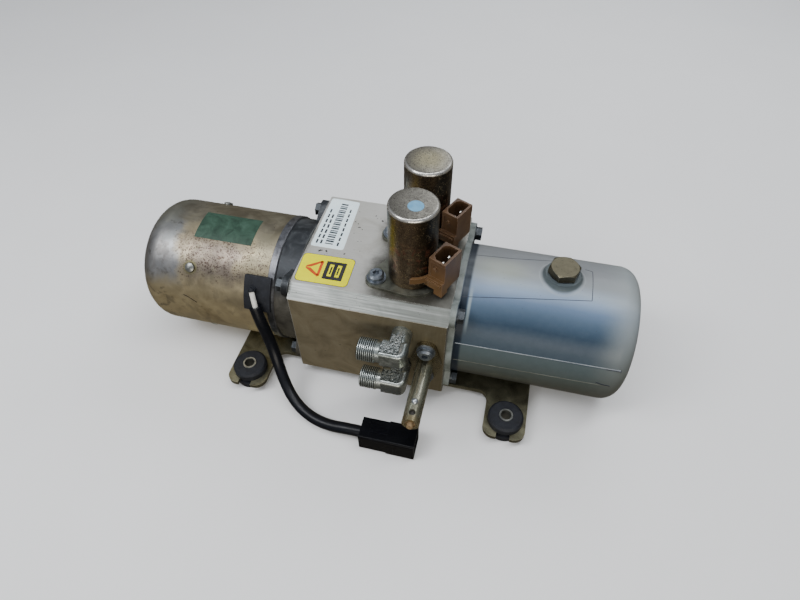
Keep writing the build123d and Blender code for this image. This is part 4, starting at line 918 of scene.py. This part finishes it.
def make_block_marks():
    """Small dark nicks and scuffs on top of the block."""
    random.seed(7)
    dark = plastic("nick_shadow", (0.045, 0.04, 0.035), (0.02, 0.018, 0.015), (0.6, 0.8))
    verts, faces = [], []
    spots = [(-24, 41, 1.3), (-22, 38, 0.8), (-17, 36, 1.4), (-39, 30, 1.2), (-36, 28, 0.8), (-34, 24, 1.4),
             (-31, 22, 0.9), (-12, 45, 0.7), (-57, -9.5, 2.3), (-52, -9.0, 1.4), (-37, -9.0, 1.0),
             (-7, 20, 0.6), (-28, 8, 0.5)]
    for cx, cy, size in spots:
        n, first = 9, len(verts)
        turn, slim = random.uniform(0, 3), random.uniform(0.35, 0.8)
        for level in (-0.05, 0.035):
            random.seed(int(cx * 31 + cy))
            for k in range(n):
                r = size * random.uniform(0.55, 1.15)
                a = 2 * math.pi * k / n
                u, v = r * math.cos(a), slim * r * math.sin(a)
                verts.append((cx + u * math.cos(turn) - v * math.sin(turn),
                              cy + u * math.sin(turn) + v * math.cos(turn), BLOCK_TOP + level))
        faces.append([first + n + i for i in range(n)])
        faces.append([first + i for i in reversed(range(n))])
        faces += [[first + i, first + (i + 1) % n, first + n + (i + 1) % n, first + n + i] for i in range(n)]
    add_piece("block_nicks", verts, faces, dark, smooth=False)


def strip_on_axis(name, path, width, inner, outer, look):
    """Thin raised strip along (x, front angle) points on a round body."""
    half = math.degrees(width / 2 / outer)
    dense = []
    for (xa, fa), (xb, fb) in zip(path, path[1:]):
        steps = max(2, int(abs(xb - xa) / 4) + int(abs(fb - fa) / 2))
        dense += [(xa + (xb - xa) * k / steps, fa + (fb - fa) * k / steps) for k in range(steps)]
    dense.append(path[-1])
    run_x = abs(path[-1][0] - path[0][0]) >= abs(math.radians(path[-1][1] - path[0][1]) * outer)
    side = (lambda s: [(x, f + s * half) for x, f in dense]) if run_x else \
        (lambda s: [(x + s * width / 2, f) for x, f in dense])
    verts, faces = cylinder_patch(side(-1), side(1), inner, outer)
    return add_piece(name, verts, faces, look)


def make_tank_details():
    seam = plastic("tank_seam", (0.36, 0.39, 0.42), (0.24, 0.27, 0.30), (0.3, 0.4), 6.0)
    low_seam = plastic("tank_low_seam", (0.17, 0.18, 0.16), (0.09, 0.095, 0.08), (0.35, 0.5), 9.0)
    pen = plastic("pen_line", (0.030, 0.034, 0.055), (0.012, 0.014, 0.022), (0.5, 0.6))
    strip_on_axis("tank_seam_front", [(62.0, 18.0), (184.0, 20.4)], 0.5, 53.6, 54.3, seam)
    strip_on_axis("tank_seam_low", [(62.0, -1.5), (180.0, 1.6)], 0.6, 53.6, 54.2, low_seam)
    lines = [[(60.9, 57.2), (155.2, 71.8)], [(155.2, 71.8), (154.8, 102.7)], [(149.4, 104.4), (154.8, 102.7)],
             [(66.0, 100.0), (96.0, 103.5), (125.1, 110.3)], [(174.0, 19.4), (184.5, 19.8)],
             [(184.5, 18.6), (184.2, 20.6)], [(170.0, 4.2), (175.0, 2.6)], [(175.0, 2.6), (180.5, 2.4)]]
    for k, path in enumerate(lines):
        strip_on_axis("tank_line_%d" % k, path, 0.45, 53.9, 54.08 if k < 4 else 54.4, pen)
    skirt = 4.5
    verts, faces, n, rings = [], [], 96, 9
    for k in range(rings):
        out = skirt * k / (rings - 1)
        rise = skirt - math.sqrt(max(0.0, skirt ** 2 - (skirt - out) ** 2))
        for i in range(n):
            a = 2 * math.pi * i / n
            x, y = BOSS_X + (BOSS_R + out - 0.1) * math.cos(a), (BOSS_R + out - 0.1) * math.sin(a)
            verts.append((x, y, AXIS_Z + math.sqrt((TANK_R - 0.15) ** 2 - y * y) + rise + 0.05))
    first = len(verts)
    for i in range(n):
        a = 2 * math.pi * i / n
        x, y = BOSS_X + (BOSS_R - 0.1) * math.cos(a), (BOSS_R - 0.1) * math.sin(a)
        verts.append((x, y, AXIS_Z + math.sqrt((TANK_R - 1.5) ** 2 - y * y)))
    for k in range(rings - 1):
        for i in range(n):
            j = (i + 1) % n
            faces.append([k * n + i, k * n + j, (k + 1) * n + j, (k + 1) * n + i])
    last = (rings - 1) * n
    for i in range(n):
        j = (i + 1) % n
        faces += [[first + i, first + j, j, i], [last + i, last + j, first + j, first + i]]
    add_piece("filler_boss_skirt", verts, faces, LOOKS["tank"])


def make_coil_details():
    blue = plastic("paint_dot", (0.17, 0.38, 0.55), (0.11, 0.29, 0.46), (0.4, 0.5), 3.0, 0.6, 0.03, shine=0.3)
    profile = [(177.95, 0.0), (177.95, 5.7), (178.08, 5.6), (178.16, 0.0)]
    verts, faces = spun(profile, about_z(23.2, -21.8), 48)
    add_piece("coil_paint_dot", verts, faces, blue)


def make_elbow_panels():
    """Raised granular panel on the top of each forged elbow, in a dark seat."""
    seat = metal("panel_seat", (0.02, 0.024, 0.023), (0.05, 0.058, 0.056), (0.5, 0.6))
    layers = (("seat", seat, 0.4, 7.7, 8.1), ("panel", LOOKS["granular"], 0.0, 7.8, 8.5))
    for side, z in zip(("upper", "lower"), PORT_ZS):
        for name, look, grow, low, high in layers:
            x0, x1, x2 = 10.6 - grow, 16.4 - grow, 24.4 + grow
            y0, y1, y2 = -84.0 - grow, -74.8 + grow, -66.4 + grow
            top = [(x0, y0), (x2 - 1.6, y0)] + [(x2 - 1.6 + u, y0 + 1.6 + v) for u,
                                                v in arc(0, 0, 1.6, -90, 0, 4)]
            top += [(x2, y2), (x1, y2), (x1, y1), (x0, y1)]
            n = len(top)
            verts = [(x, y, z + low) for x, y in top] + [(x, y, z + high) for x, y in top]
            faces = [list(range(n)), [n + i for i in range(n)]]
            faces += [[i, (i + 1) % n, n + (i + 1) % n, n + i] for i in range(n)]
            add_piece("elbow_" + name + "_" + side, verts, faces, look, smooth=False)


SPRING_JOINTS = {"valve_spring_front": ("valve_front_lift", 2, 3.0),
                 "valve_spring_rear": ("valve_rear_lift", 2, 3.0), "relief_spring": ("relief_lift", 1, 1.5),
                 "plunger_spring": ("hand_pump_stroke", 1, 10.0)}


def make_springs():
    """Return springs, fixed at their high end, copied onto the housing in place of the imported ones."""
    for node, (joint, axis, travel) in SPRING_JOINTS.items():
        spring = bpy.data.objects.new(node + "_coils", NODE[node].data.copy())
        bpy.context.scene.collection.objects.link(spring)
        low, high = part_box(node)
        anchor = [(a + b) / 2 for a, b in zip(low, high)]
        anchor[axis] = high[axis]
        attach(spring, "housing")
        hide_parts(node)
        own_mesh(spring)


def make_stage():
    mesh = bpy.data.meshes.new("floor")
    s = 4.0
    mesh.from_pydata([(-s, -s, 0), (s, -s, 0), (s, s, 0), (-s, s, 0)], [], [(0, 1, 2, 3)])
    look = Look("floor_paper")
    look.color(look.ramp(look.noise(120.0, 2.0), (0.3, (0.86, 0.86, 0.86)), (0.7, (0.88, 0.88, 0.88))))
    look.rough(0.75)
    mesh.materials.append(look.mat)
    floor = bpy.data.objects.new("floor", mesh)
    bpy.context.scene.collection.objects.link(floor)
    floor.visible_glossy = False
    floor.visible_diffuse = False


def make_lights():
    world = bpy.data.worlds.new("studio")
    bpy.context.scene.world = world
    world.use_nodes = True
    tree = world.node_tree
    height = tree.nodes.new("ShaderNodeVectorMath")
    height.operation = "DOT_PRODUCT"
    height.inputs[1].default_value = (-0.1, -0.25, 1.0)
    tree.links.new(tree.nodes.new("ShaderNodeTexCoord").outputs["Generated"], height.inputs[0])
    level = tree.nodes.new("ShaderNodeMapRange")
    tree.links.new(height.outputs["Value"], level.inputs[0])
    level.inputs[1].default_value = -1.0
    sky = tree.nodes.new("ShaderNodeValToRGB")
    tree.links.new(level.outputs[0], sky.inputs[0])
    stops = ((0.0, (0.20, 0.185, 0.155)), (0.46, (0.19, 0.175, 0.145)), (0.58, (0.24, 0.24, 0.24)),
             (0.80, (0.44, 0.47, 0.52)), (1.0, (0.70, 0.73, 0.78)))
    elements = sky.color_ramp.elements
    while len(elements) < len(stops):
        elements.new(0.5)
    for element, (position, color) in zip(elements, stops):
        element.position, element.color = position, (*color, 1.0)
    tree.links.new(sky.outputs[0], tree.nodes["Background"].inputs["Color"])
    tree.nodes["Background"].inputs["Strength"].default_value = 0.8
    lamps = (
        ("key_window", (-0.8, -0.5, 1.15), (0, 0, 0.05), 0.5, 0.6, 8.0, (0.97, 0.98, 1.0)),
        ("front_fill", (0.4, -1.3, 0.35), (0, 0, 0.05), 1.2, 0.4, 9.0, (1.0, 0.93, 0.80)),
        ("top_strip", (0.1, -0.14, 1.25), (0.0, 0, 0.05), 1.6, 0.16, 9.0, (0.97, 0.98, 1.0)),
        ("back_glow", (0.3, 0.9, 0.9), (0, 0, 0.05), 0.9, 0.5, 5.0, (0.94, 0.97, 1.0)),
    )
    for name, place, aim, width, height, power, tint in lamps:
        data = bpy.data.lights.new(name, "AREA")
        data.shape = "RECTANGLE"
        data.size, data.size_y, data.energy, data.color = width, height, power, tint
        lamp = bpy.data.objects.new(name, data)
        bpy.context.scene.collection.objects.link(lamp)
        lamp.location = place
        lamp.rotation_euler = (Vector(aim) - Vector(place)).to_track_quat("-Z", "Y").to_euler()


LOOKS = make_looks()
make_camera()
make_cords()
dress_cad_nodes()
make_can()
make_coil_cans()
make_labels()
make_block_marks()
make_tank_details()
make_coil_details()
make_elbow_panels()
make_springs()
make_stage()
make_lights()
